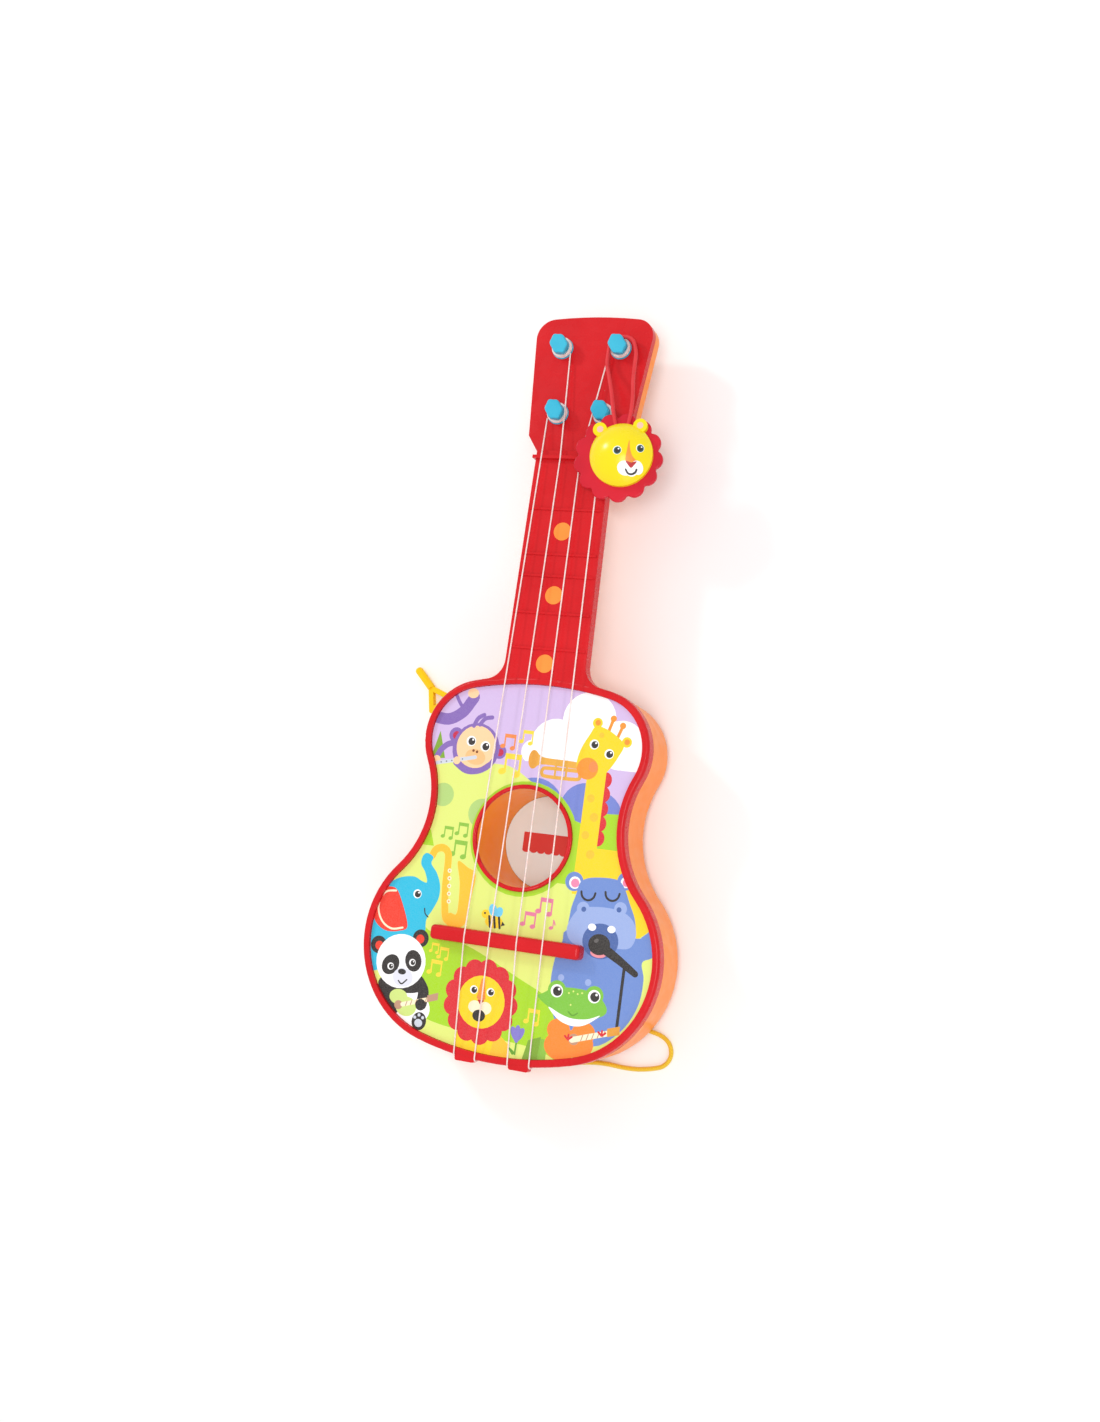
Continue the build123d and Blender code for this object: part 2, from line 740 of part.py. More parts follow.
with BuildPart() as sound_tube:
    with BuildSketch(Plane.XY.offset(wall)):
        with Locations((0, hole_y)):
            Circle(tube_bore + tube_wall)
            Circle(tube_bore, mode=Mode.SUBTRACT)
    extrude(amount=deck_z - wall)
save(sound_tube.part, "sound_tube")

with BuildPart() as sound_disc:
    with BuildSketch(Plane.XY.offset(wall)):
        with Locations((0, hole_y)):
            Circle(tube_bore - hole_clearance)
    extrude(amount=disc_thickness)
save(sound_disc.part, "sound_disc")

with BuildPart() as disc_banner:
    with BuildSketch(Plane.XY.offset(wall + disc_thickness)):
        with Locations((0, hole_y)):
            Rectangle(sticker_width, sticker_height)
        scallop = sticker_width / sticker_scallops
        with Locations((0, hole_y - sticker_height / 2)):
            with GridLocations(scallop, 1, sticker_scallops, 1):
                Ellipse(scallop / 2, scallop / 3)
    extrude(amount=sticker_thickness)
save(disc_banner.part, "disc_banner")

# ================================================================ bridge
with BuildPart() as bridge:
    with BuildSketch(Plane.XY.offset(label_z)):
        with Locations((0, bridge_y)):
            RectangleRounded(bridge_length, bridge_width, bridge_round)
    extrude(amount=bridge_crest_z - label_z)
    fillet(bridge.edges().group_by(Axis.Z)[-1], radius=bridge_top_round)
    with BuildSketch(Plane.XY.offset(label_z)):
        with Locations(*bridge_screw_places):
            Circle(screw_hole)
    extrude(amount=bridge_screw_reach + 2 * screw_tip_gap, mode=Mode.SUBTRACT)
    for side, which in string_choices:
        add(saddle_cut(side, which, 2), mode=Mode.SUBTRACT)
save(bridge.part, "bridge")

# ================================================================ fret dots
with BuildPart() as fret_dots:
    with BuildSketch(Plane.XY.offset(fretboard_z - wall)):
        with Locations(*dot_places):
            Circle(dot_radius)
    extrude(amount=wall + dot_proud)
    with BuildSketch(Plane.XY.offset(fretboard_z - wall)):
        with Locations(*dot_places):
            Circle(dot_radius + dot_flange)
    extrude(amount=-dot_flange)
save(fret_dots.part, "fret_dots")

# ================================================================ tuning pegs
shaft_end = head_front + head_back - recess_depth + peg_play


def peg_plane(place, height):
    """A plane square to a peg's axis, centred on it, at a height above the headstock's face."""
    return Plane(origin=on_head(*place, height), x_dir=(1, 0, 0), z_dir=head_normal)


def knob_outline(count=36):
    """Points round the knob's long, lobed outline, turned to where the pegs stand."""
    turn = math.radians(knob_turn)
    points = []
    for step in range(count):
        angle = 2 * math.pi * step / count
        lobe = 1 + knob_lobe_depth / knob_long * math.cos(knob_lobes * angle)
        along = knob_long * math.cos(angle) * lobe
        across = knob_short * math.sin(angle) * lobe
        points.append(
            (
                along * math.cos(turn) - across * math.sin(turn),
                along * math.sin(turn) + across * math.cos(turn),
            )
        )
    return points


for number, place in enumerate(peg_places, start=1):
    with BuildPart() as peg:
        for radius, low, high in (
            (peg_collar, peg_play, drum_base),
            (drum_radius, drum_base, drum_base + drum_height),
            (peg_neck, drum_base + drum_height, knob_base),
            (peg_shaft, -shaft_end, peg_play),
        ):
            with BuildSketch(peg_plane(place, low)):
                Circle(radius)
            extrude(amount=high - low)
        with BuildSketch(peg_plane(place, knob_base)):
            with BuildLine():
                Spline(*knob_outline(), periodic=True)
            make_face()
        extrude(amount=knob_height)
        fillet(peg.faces().sort_by(Axis.Z)[-1].edges(), radius=knob_top_round)
        with BuildSketch(peg_plane(place, -shaft_end)):
            Circle(peg_screw_shank + thread_gap)
        extrude(amount=peg_screw_length + screw_tip_gap, mode=Mode.SUBTRACT)
    save(peg.part, f"peg_{number}")

    with BuildPart() as washer:
        with BuildSketch(peg_plane(place, -shaft_end - washer_thickness)):
            Circle(washer_radius)
            Circle(peg_screw_shank + washer_gap, mode=Mode.SUBTRACT)
        extrude(amount=washer_thickness)
    save(washer.part, f"peg_{number}_washer")

    with BuildPart() as peg_fixing:
        screw_seat = peg_plane(place, -shaft_end - washer_thickness)
        add(
            cross_screw(peg_screw_head, peg_screw_head_height, peg_screw_shank, peg_screw_length).moved(
                screw_seat.location
            )
        )
    save(peg_fixing.part, f"peg_{number}_screw")

    with BuildPart() as winding:
        section = Plane(
            origin=on_head(*place, 0),
            x_dir=(1, 0, 0),
            z_dir=(0, -head_normal[2], head_normal[1]),
        )
        turns_middle = drum_base + drum_height / 2
        with BuildSketch(section):
            with Locations((drum_radius + (winding_radius - drum_radius) / 2, turns_middle)):
                Rectangle(winding_radius - drum_radius, turn_spacing * string_diameter * winding_turns)
            with Locations((winding_radius, turns_middle)):
                with GridLocations(1, turn_spacing * string_diameter, 1, winding_turns):
                    Circle(string_radius)
        revolve(axis=Axis(on_head(*place, 0), head_normal))
    save(winding.part, f"string_winding_{number}")

# ================================================================ strings
string_sections = []
for side, name in ((-1, "string_1_2"), (1, "string_3_4")):
    route = string_half(side, 1) + string_half(side, 0)[::-1]
    bends = [nut_bend, nut_bend, crest_round + string_radius, hook_bend]
    with BuildPart() as string:
        with BuildLine() as path:
            FilletPolyline(*route, radius=bends + bends[::-1])
        with BuildSketch(Plane(origin=path.line @ 0, z_dir=path.line % 0)):
            Circle(string_radius)
        sweep(path=path.line, transition=Transition.RIGHT)
    save(string.part, name)
    string_sections.append((name, string.part.volume, math.pi * string_radius**2 * path.wire().length))

# ================================================================ charm
charm_x = peg_upper_x + charm_from_peg_x
charm_y = nut_y + charm_from_nut_y
charm_lean = math.radians(charm_tilt)
rest_x = string_nut_x[1]
rest_z = nut_string_z + string_radius + charm_rest
charm_z = rest_z - (charm_x - rest_x) * math.tan(charm_lean)
mane_low = charm_back_thickness
mane_high = mane_low + mane_thickness


def charm_plane(height, away=(0, 0)):
    """A plane square to the charm, at a height above its back, moved across it by away."""
    base = Plane(
        origin=(charm_x, charm_y, charm_z),
        x_dir=(math.cos(charm_lean), 0, -math.sin(charm_lean)),
        z_dir=(math.sin(charm_lean), 0, math.cos(charm_lean)),
    )
    level = base.offset(height)
    return Plane(origin=level.from_local_coords(Vector(*away, 0)), x_dir=level.x_dir, z_dir=level.z_dir)


with BuildPart() as charm_back:
    with BuildSketch(charm_plane(0)):
        Circle(charm_back_radius)
    extrude(amount=charm_back_thickness)
    fillet(charm_back.faces().sort_by(Axis.Z)[0].edges(), radius=charm_back_round)
    with BuildSketch(charm_plane(0, charm_head_offset)):
        Circle(peg_screw_head + head_gap)
    extrude(amount=peg_screw_head_height, mode=Mode.SUBTRACT)
    with BuildSketch(charm_plane(0, charm_head_offset)):
        Circle(peg_screw_shank + head_gap)
    extrude(amount=charm_back_thickness, mode=Mode.SUBTRACT)
save(charm_back.part, "charm_back")

with BuildPart() as charm_mane:
    with BuildSketch(charm_plane(mane_low)) as scallops:
        Circle(mane_radius - mane_scallop_radius / 2)
        with PolarLocations(mane_radius - mane_scallop_radius / 2, mane_scallops):
            Circle(mane_scallop_radius)
        fillet(scallops.vertices(), radius=mane_notch_round)
    extrude(amount=mane_thickness)
    fillet(charm_mane.faces().sort_by(Axis.Z)[-1].edges(), radius=mane_edge_round)
    with BuildSketch(charm_plane(mane_low, charm_head_offset)):
        Circle(peg_screw_shank + head_gap)
    extrude(amount=mane_thickness, mode=Mode.SUBTRACT)
save(charm_mane.part, "charm_mane")

loop_radius = loop_diameter / 2
loop_level = mane_high + loop_radius + 0.1
strand_left = math.radians(108.0)
strand_right = math.radians(85.0)


def dome_profile(plane, inset):
    """The head's section: a short upright skirt under a spherical cap."""
    radius = charm_head_radius - inset
    top = charm_head_skirt + charm_head_dome - inset
    cap_radius = (charm_head_radius**2 + charm_head_dome**2) / (2 * charm_head_dome) - inset
    cap_centre = charm_head_skirt + charm_head_dome - inset - cap_radius
    shoulder = cap_centre + math.sqrt(cap_radius**2 - radius**2)
    middle = math.radians(dome_middle)
    with BuildSketch(plane) as section:
        with BuildLine():
            Polyline((0, top), (0, 0), (radius, 0), (radius, shoulder))
            ThreePointArc(
                (radius, shoulder),
                (cap_radius * math.cos(middle), cap_centre + cap_radius * math.sin(middle)),
                (0, top),
            )
        make_face()
    return section.sketch


head_base = charm_plane(mane_high, charm_head_offset)
head_section = Plane(origin=head_base.origin, x_dir=head_base.x_dir, z_dir=-head_base.y_dir)
head_axis = Axis(head_base.origin, head_base.z_dir)
with BuildPart() as head_hollow:
    add(dome_profile(head_section, charm_head_wall))
    revolve(axis=head_axis)
    with BuildSketch(head_base):
        Circle(peg_screw_shank + charm_head_wall)
    extrude(amount=charm_head_skirt + charm_head_dome, mode=Mode.SUBTRACT)
with BuildPart() as charm_head:
    add(dome_profile(head_section, 0))
    revolve(axis=head_axis)
    for spread in (-ear_spread, ear_spread):
        ear_angle = math.radians(90 + face_turn + spread)
        ear_reach = charm_head_radius + ear_radius * 0.35
        with BuildSketch(head_base):
            with Locations((ear_reach * math.cos(ear_angle), ear_reach * math.sin(ear_angle))):
                Circle(ear_radius)
        extrude(amount=ear_thickness)
    add(head_hollow.part, mode=Mode.SUBTRACT)
    with BuildSketch(head_base):
        Circle(peg_screw_shank + thread_gap)
    extrude(amount=charm_head_skirt + charm_gap, mode=Mode.SUBTRACT)
    # two holes in the skirt for the ends of the loop
    for angle in (strand_left, strand_right):
        level = charm_plane(loop_level, charm_head_offset)
        outward = level.x_dir * math.cos(angle) + level.y_dir * math.sin(angle)
        with BuildSketch(Plane(origin=level.origin + outward * 12, z_dir=outward)):
            Circle(loop_radius + charm_gap)
        extrude(amount=12, mode=Mode.SUBTRACT)
save(charm_head.part, "charm_head")

with BuildPart() as charm_screw:
    seat = charm_plane(peg_screw_head_height, charm_head_offset)
    length = mane_high - peg_screw_head_height + charm_head_skirt
    add(cross_screw(peg_screw_head, peg_screw_head_height, peg_screw_shank, length).moved(seat.location))
save(charm_screw.part, "charm_screw")

# the loop: round the peg's neck under the knob, then down each side to the top of the head
loop_height = drum_base + drum_height + neck_height / 2
loop_reach = peg_neck + loop_radius + loop_gap
loop_peg = peg_places[2]


def near_peg(dx, dy, lift=0.0):
    """A point of the loop given from the peg's axis."""
    return tuple(on_head(loop_peg[0] + dx, loop_peg[1] + dy, loop_height + lift))


def near_head(dx, dy, lift=0.0):
    """A point of the loop given from the middle of the charm's head."""
    level = charm_plane(loop_level + lift, charm_head_offset)
    return tuple(level.from_local_coords(Vector(dx, dy, 0)))


strand_end = charm_head_radius - charm_head_wall
strand_clear = mane_radius + mane_scallop_radius / 2
loop_route = [
    near_head(strand_end * math.cos(strand_left), strand_end * math.sin(strand_left)),
    near_head(strand_clear * math.cos(strand_left), strand_clear * math.sin(strand_left)),
    near_head(-10.6, 35.0, -2.6),
    near_head(-14.6, 47.0, -5.6),
    near_peg(-loop_reach - 0.1, -10.5, 0.1),
    near_peg(-loop_reach, loop_reach),
    near_peg(7.4, loop_reach),
    near_peg(11.3, -3.5, 0.2),
    near_peg(12.0, -15.0, 1.4),
    near_head(-0.2, 43.5, -4.8),
    near_head(1.6, 33.6, -2.0),
    near_head(strand_clear * math.cos(strand_right), strand_clear * math.sin(strand_right)),
    near_head(strand_end * math.cos(strand_right), strand_end * math.sin(strand_right)),
]


def corner_radii(route, wrapped=()):
    """For each corner of a route, the largest arc that its two runs allow; wrapped gives set ones."""
    points = [Vector(*point) for point in route]
    radii = []
    for index in range(1, len(points) - 1):
        before = points[index] - points[index - 1]
        after = points[index + 1] - points[index]
        half_turn = math.radians(before.get_angle(after)) / 2
        radii.append(dict(wrapped).get(index, 0.45 * min(before.length, after.length) / math.tan(half_turn)))
    return radii


def tube(route, radii, radius):
    """A round tube along straight runs joined by arcs, with its length."""
    with BuildPart() as swept:
        with BuildLine() as path:
            FilletPolyline(*route, radius=radii)
        with BuildSketch(Plane(origin=path.line @ 0, z_dir=path.line % 0)):
            Circle(radius)
        sweep(path=path.line)
    return swept.part, path.wire().length


loop_radii = corner_radii(loop_route, {5: loop_reach}.items())
charm_loop, loop_length = tube(loop_route, loop_radii, loop_radius)
save(charm_loop, "charm_loop")
print("loop", round(loop_length, 1), [round(r, 1) for r in loop_radii])
print("loop fill", charm_loop.volume / (math.pi * loop_radius**2 * loop_length))

# ================================================================ carrying cord
cord_radius = cord_diameter / 2
cord_z = cord_radius + 0.05
hank_end_y = hank_y - hank_length / 2
cord_out = [
    (65.6, -180.7),
    (71.8, -182.3),
    (79.0, -183.5),
    (84.6, -187.0),
    (86.6, -193.3),
    (83.9, -199.3),
    (77.9, -202.0),
    (64.6, -204.6),
    (46.0, -203.4),
    (28.0, -206.8),
    (8.0, -209.0),
    (-14.0, -209.2),
    (-36.0, -206.6),
    (-55.0, -201.0),
    (-70.0, -191.8),
    (-82.0, -178.4),
    (-89.2, -161.0),
    (-90.0, -141.0),
    (-86.0, -121.5),
    (-78.4, -103.0),
    (-72.0, -84.0),
    (-69.6, -65.0),
    (-70.6, -46.0),
    (-68.8, -28.5),
    (-62.2, -14.6),
    (-50.0, -6.4),
    (-36.0, -0.6),
    (-22.6, 8.2),
    (-12.4, 21.0),
    (hank_x + 4.0, hank_end_y),
]
cord_in = [
    (hank_x - 4.5, hank_end_y),
    (-21.6, 26.8),
    (-29.6, 14.8),
    (-41.4, 4.8),
    (-54.0, -1.6),
    (-65.4, -8.6),
    (-76.0, -14.0),
]
cord_report = []
for name, points in (("strap_cord_out", cord_out), ("strap_cord_in", cord_in)):
    route = [(x, y, cord_z) for x, y in points]
    radii = corner_radii(route)
    piece, length = tube(route, radii, cord_radius)
    save(piece, name)
    cord_report.append((name, length, piece.volume, radii))

with BuildPart() as strap_hank:
    with BuildSketch():
        with Locations((hank_x, hank_y)):
            RectangleRounded(hank_width, hank_length, hank_corner)
    extrude(amount=hank_height)
    fillet(strap_hank.edges().group_by(Axis.Z)[-1], radius=hank_top_round)
save(strap_hank.part, "strap_hank")

toggle_tip = (-99.0, 6.3)
toggle_fork = (-88.0, -4.7)
toggle_foot = ((-85.5, -18.3), (-75.1, -9.5))


def toggle_eye(grow):
    """The toggle's three-cornered eye, grown from the middle line of its sides."""
    with BuildSketch() as eye:
        with BuildLine():
            Polyline(toggle_fork, *toggle_foot, close=True)
        make_face()
        offset(amount=grow)
    return eye.sketch


with BuildPart() as strap_toggle:
    away = Vector(toggle_tip[0] - toggle_fork[0], toggle_tip[1] - toggle_fork[1], 0)
    with BuildSketch(Plane(origin=(*toggle_fork, toggle_thickness / 2), z_dir=away.normalized())):
        Circle(toggle_thickness / 2)
    extrude(amount=away.length)
    fillet(strap_toggle.edges().sort_by(Axis.X)[0], radius=toggle_tip_round)
    add(toggle_eye(toggle_eye_wall / 2))
    extrude(amount=toggle_eye_height)
    add(toggle_eye(-toggle_eye_wall / 2))
    extrude(amount=toggle_thickness, mode=Mode.SUBTRACT)
save(strap_toggle.part, "strap_toggle")

for name, length, volume, radii in cord_report:
    print(name, round(length, 1), "fill", round(volume / (math.pi * cord_radius**2 * length), 4))
    print("  radii", [round(r, 1) for r in radii])
for name, volume, expected in string_sections:
    print(name, "fill", round(volume / expected, 4))
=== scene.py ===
"""Looks of the toy guitar: plastics, the printed label, the charm's face, strings and cord.

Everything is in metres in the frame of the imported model, with the guitar lying on its back.
Drawings on the label and on the charm are laid out in millimetres.
"""
import json
import math

import bmesh
import bpy
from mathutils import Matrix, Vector
from mathutils.bvhtree import BVHTree
from mathutils.geometry import delaunay_2d_cdt


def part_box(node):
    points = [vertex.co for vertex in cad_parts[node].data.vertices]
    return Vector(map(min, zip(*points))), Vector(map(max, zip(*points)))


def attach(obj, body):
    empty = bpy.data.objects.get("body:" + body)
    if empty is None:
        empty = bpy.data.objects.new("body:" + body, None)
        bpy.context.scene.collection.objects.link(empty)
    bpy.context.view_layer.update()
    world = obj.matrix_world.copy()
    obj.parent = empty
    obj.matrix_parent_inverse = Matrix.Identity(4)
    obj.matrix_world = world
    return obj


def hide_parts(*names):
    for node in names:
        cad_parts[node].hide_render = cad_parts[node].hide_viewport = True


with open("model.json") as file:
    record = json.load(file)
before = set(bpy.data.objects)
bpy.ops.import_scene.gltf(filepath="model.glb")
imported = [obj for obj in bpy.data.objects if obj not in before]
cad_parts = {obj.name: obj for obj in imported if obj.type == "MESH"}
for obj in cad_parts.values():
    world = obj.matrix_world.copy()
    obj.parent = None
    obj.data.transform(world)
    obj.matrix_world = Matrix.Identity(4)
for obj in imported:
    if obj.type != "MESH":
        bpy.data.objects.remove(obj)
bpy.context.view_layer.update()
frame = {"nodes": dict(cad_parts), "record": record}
nodes = frame["nodes"]
mm = 0.001

# ---------------------------------------------------------------- camera
camera_data = bpy.data.cameras.new("camera")
camera_data.sensor_width = 36.0
camera_data.lens = 42.35
camera_data.clip_start = 0.01
camera_data.clip_end = 20.0
camera = bpy.data.objects.new("camera", camera_data)
camera.location = (0.35294, -0.11063, 0.88912)
camera.rotation_euler = [math.radians(turn) for turn in (8.912, 21.321, 8.145)]
bpy.context.scene.collection.objects.link(camera)
bpy.context.scene.camera = camera

# ---------------------------------------------------------------- light and floor
world = bpy.data.worlds.new("studio")
bpy.context.scene.world = world
world.use_nodes = True
world.node_tree.nodes["Background"].inputs["Color"].default_value = (1.0, 1.0, 1.0, 1.0)
world.node_tree.nodes["Background"].inputs["Strength"].default_value = 0.7
bpy.context.scene.view_settings.view_transform = "Standard"


def soft_light(name, place, size, power):
    """A square area light that looks at the middle of the guitar."""
    data = bpy.data.lights.new(name, "AREA")
    data.shape = "SQUARE"
    data.size = size
    data.energy = power
    light = bpy.data.objects.new(name, data)
    light.location = place
    light.rotation_euler = (-Vector(place)).to_track_quat("-Z", "Y").to_euler()
    bpy.context.scene.collection.objects.link(light)


soft_light("key_light", (-1.0, 0.75, 0.95), 0.16, 4.6)
soft_light("front_light", (0.34, -0.12, 1.3), 0.45, 6.4)
soft_light("tail_light", (0.6, -1.2, 0.8), 0.8, 3.0)

# ---------------------------------------------------------------- finishes


def linear(red, green, blue):
    """A colour given as screen values from 0 to 255, for a shader."""
    def one(value):
        share = value / 255
        return share / 12.92 if share <= 0.04045 else ((share + 0.055) / 1.055) ** 2.4
    return (one(red), one(green), one(blue), 1.0)


class Finish:
    """A material with its node tree, and short ways to add nodes to it."""

    def __init__(self, name):
        self.material = bpy.data.materials.new(name)
        self.material.use_nodes = True
        self.tree = self.material.node_tree
        self.shader = self.tree.nodes["Principled BSDF"]
        self.place = self.node("ShaderNodeTexCoord").outputs["Object"]

    def node(self, kind, **inputs):
        made = self.tree.nodes.new(kind)
        for name, value in inputs.items():
            self.feed(made.inputs[name.replace("_", " ")], value)
        return made

    def feed(self, socket, value):
        if isinstance(value, bpy.types.NodeSocket):
            self.tree.links.new(value, socket)
        else:
            socket.default_value = value

    def noise(self, scale, detail=2.0, roughness=0.5):
        made = self.node(
            "ShaderNodeTexNoise", Vector=self.place, Scale=scale, Detail=detail, Roughness=roughness
        )
        return made.outputs["Fac"]

    def spread(self, value, low, high, start=0.35, end=0.65):
        made = self.node("ShaderNodeMapRange", Value=value)
        made.inputs["From Min"].default_value = start
        made.inputs["From Max"].default_value = end
        made.inputs["To Min"].default_value = low
        made.inputs["To Max"].default_value = high
        return made.outputs["Result"]

    def mix(self, share, first, second):
        made = self.node("ShaderNodeMix")
        made.data_type = "RGBA"
        colours = [socket for socket in made.inputs if socket.type == "RGBA"]
        self.feed(made.inputs[0], share)
        self.feed(colours[0], first)
        self.feed(colours[1], second)
        return next(socket for socket in made.outputs if socket.type == "RGBA")

    def bump(self, height, strength, distance):
        made = self.node("ShaderNodeBump", Height=height, Strength=strength, Distance=distance)
        self.tree.links.new(made.outputs["Normal"], self.shader.inputs["Normal"])

    def set(self, **inputs):
        for name, value in inputs.items():
            self.feed(self.shader.inputs[name.replace("_", " ")], value)


def moulded(name, bright, deep, gloss, coat=0.0, skin=0.03, shine=0.22):
    """Moulded plastic: slow drifts of colour, uneven gloss and the fine skin of the mould."""
    made = Finish(name)
    drift = made.spread(made.noise(28.0, 3.0), 0.0, 1.0)
    made.set(Base_Color=made.mix(drift, linear(*bright), linear(*deep)))
    made.set(Roughness=made.spread(made.noise(160.0, 4.0), gloss - 0.05, gloss + 0.07))
    made.set(Coat_Weight=coat, Coat_Roughness=0.12, IOR=1.45, Specular_IOR_Level=shine)
    made.bump(made.noise(1500.0, 3.0, 0.6), skin, 0.0002)
    return made


red_shell = moulded("red_plastic", (212, 32, 38), (203, 28, 34), 0.26)
orange_shell = moulded("orange_plastic", (254, 150, 66), (250, 142, 58), 0.34)
blue_peg = moulded("turquoise_plastic", (66, 184, 214), (50, 170, 203), 0.28)
# The sound tube is the back shell's orange plastic; this brighter, stronger orange is painted light, raised
# to make up for the shade deep inside the tube.
tube_lit_orange = moulded("tube_plastic_painted_light", (255, 164, 44), (253, 157, 36), 0.36)
# The disc's white is tinted cyan: a painted correction that cancels the orange light bounced onto it from
# the tube.
white_disc = moulded("white_plastic_tinted_against_bounce", (230, 252, 255), (224, 247, 250), 0.2, shine=0.4)
red_banner = moulded("banner_print", (214, 72, 68), (204, 60, 58), 0.42, coat=0.1)
charm_yellow = moulded("charm_plastic", (246, 224, 12), (240, 214, 4), 0.22, shine=0.5)
mane_red = moulded("charm_vinyl", (214, 30, 50), (196, 24, 44), 0.46, coat=0.1, skin=0.12)
loop_red = moulded("loop_silicone", (226, 66, 70), (212, 52, 58), 0.5, coat=0.0, skin=0.1)
toggle_yellow = moulded("toggle_plastic", (252, 212, 24), (246, 202, 12), 0.44, coat=0.1, skin=0.1)

nylon = Finish("nylon_line")
nylon_drift = nylon.spread(nylon.noise(220.0), 0.0, 1.0)
nylon.set(Base_Color=nylon.mix(nylon_drift, linear(255, 240, 236), linear(250, 222, 216)))
nylon.set(Roughness=nylon.spread(nylon.noise(500.0), 0.16, 0.3))
nylon.set(Transmission_Weight=0.15, IOR=1.5)
nylon.bump(nylon.noise(400.0, 2.0), 0.04, 0.0001)

steel = Finish("plated_steel")
steel_drift = steel.spread(steel.noise(300.0), 0.0, 1.0)
steel.set(Base_Color=steel.mix(steel_drift, linear(196, 198, 202), linear(160, 162, 168)))
steel.set(Metallic=1.0, Roughness=steel.spread(steel.noise(900.0, 5.0), 0.24, 0.42))
steel.bump(steel.noise(2200.0, 4.0), 0.15, 0.0001)

braid = Finish("braided_cord")
slant = [
    braid.node("ShaderNodeTexWave", Vector=braid.place, Scale=420.0, Distortion=1.5)
    for _ in range(2)
]
slant[0].bands_direction = "DIAGONAL"
slant[1].bands_direction = "X"
weave = braid.node("ShaderNodeMath", Value=slant[0].outputs["Fac"])
weave.operation = "MULTIPLY"
braid.feed(weave.inputs[1], slant[1].outputs["Fac"])
braid.set(Base_Color=braid.mix(weave.outputs["Value"], linear(226, 182, 22), linear(248, 214, 52)))
braid.set(Roughness=braid.spread(braid.noise(800.0), 0.62, 0.8), Sheen_Weight=0.3, Sheen_Roughness=0.5)
braid.bump(weave.outputs["Value"], 0.5, 0.0004)

film = Finish("printed_film")
inks_here = film.node("ShaderNodeAttribute")
inks_here.attribute_name = "ink"
ink_dots = film.spread(film.noise(2600.0, 2.0), 0.0, 0.05)
film.set(Base_Color=film.mix(ink_dots, inks_here.outputs["Color"], linear(255, 250, 240)))
film.set(Roughness=film.spread(film.noise(120.0, 3.0), 0.3, 0.4), Specular_IOR_Level=0.3, Coat_Weight=0.05)
film.bump(film.noise(260.0, 3.0), 0.04, 0.0003)

finish_of_slot = {
    "red_shell": red_shell,
    "orange_shell": orange_shell,
    "steel_screw": steel,
    "printed_label": film,
    "white_disc": white_disc,
    "red_banner": red_banner,
    "mane_red": mane_red,
    "charm_yellow": charm_yellow,
    "loop_red": loop_red,
    "yellow_cord": braid,
    "toggle_yellow": toggle_yellow,
    "nylon_string": nylon,
    "peg_blue": blue_peg,
}


def wear(piece, finish):
    piece.data.materials.clear()
    piece.data.materials.append(finish.material)


for row in frame["record"]["subparts"]:
    wear(nodes[row["node"]], finish_of_slot[row["material_slot"]])
# The tube wears the brightened orange: painted light against the shade inside it.
wear(nodes["sound_tube"], tube_lit_orange)

# ---------------------------------------------------------------- floor
bpy.ops.object.select_all(action="DESELECT")
bpy.ops.mesh.primitive_plane_add(size=12.0, location=(0.0, 0.0, 0.0))
floor = bpy.context.object
floor.name = "floor"
paper = Finish("studio_paper")
paper_drift = paper.spread(paper.noise(9.0), 0.0, 1.0)
paper.set(Base_Color=paper.mix(paper_drift, linear(250, 250, 250), linear(246, 246, 247)))
paper.set(Roughness=0.9)
wear(floor, paper)

# ---------------------------------------------------------------- carrying cord
cord_thick = 2.5
cord_z = 1.3
cord_out = [
    (65.6, -180.7), (71.8, -182.3), (79.0, -183.5), (84.6, -187.0), (86.6, -193.3),
    (83.9, -199.3), (77.9, -202.0), (64.6, -204.6), (46.0, -203.4), (28.0, -206.8),
    (8.0, -209.0), (-14.0, -209.2), (-36.0, -206.6), (-55.0, -201.0), (-70.0, -191.8),
    (-82.0, -178.4), (-89.2, -161.0), (-90.0, -141.0), (-86.0, -121.5), (-78.4, -103.0),
    (-72.0, -84.0), (-69.6, -65.0), (-70.6, -46.0), (-68.8, -28.5), (-62.2, -14.6),
    (-50.0, -6.4), (-36.0, -0.6), (-22.6, 8.2), (-12.4, 21.0), (-10.0, 38.0),
]
cord_in = [
    (-18.5, 38.0), (-21.6, 26.8), (-29.6, 14.8), (-41.4, 4.8), (-54.0, -1.6),
    (-65.4, -8.6), (-76.0, -14.0),
]
hank_turn = [
    (-8.9, 48.0), (-8.9, 60.0), (-8.9, 74.0), (-8.9, 88.0), (-10.2, 95.8), (-14.0, 98.0),
    (-17.8, 95.8), (-19.1, 88.0), (-19.1, 74.0), (-19.1, 60.0), (-19.1, 48.0),
    (-17.8, 40.2), (-14.0, 38.0), (-10.2, 40.2),
]
hank_layers = 3
cord_points = [(x, y, cord_z) for x, y in cord_out[:-1]]
for layer in range(hank_layers):
    last = layer == hank_layers - 1
    turn = hank_turn[:11] if last else hank_turn
    for step, (x, y) in enumerate(turn):
        rise = cord_thick * (layer + max(0.0, (step - 10) / 3.0 if not last else 0.0))
        cord_points.append((x, y, cord_z + min(rise, 2 * cord_thick)))
cord_points += [(-19.0, 40.0, 6.2), (-20.4, 33.0, 3.4)]
cord_points += [(x, y, cord_z) for x, y in cord_in[1:]]
cord_curve = bpy.data.curves.new("strap_cord", "CURVE")
cord_curve.dimensions = "3D"
cord_curve.bevel_depth = cord_thick / 2 * mm
cord_curve.bevel_resolution = 4
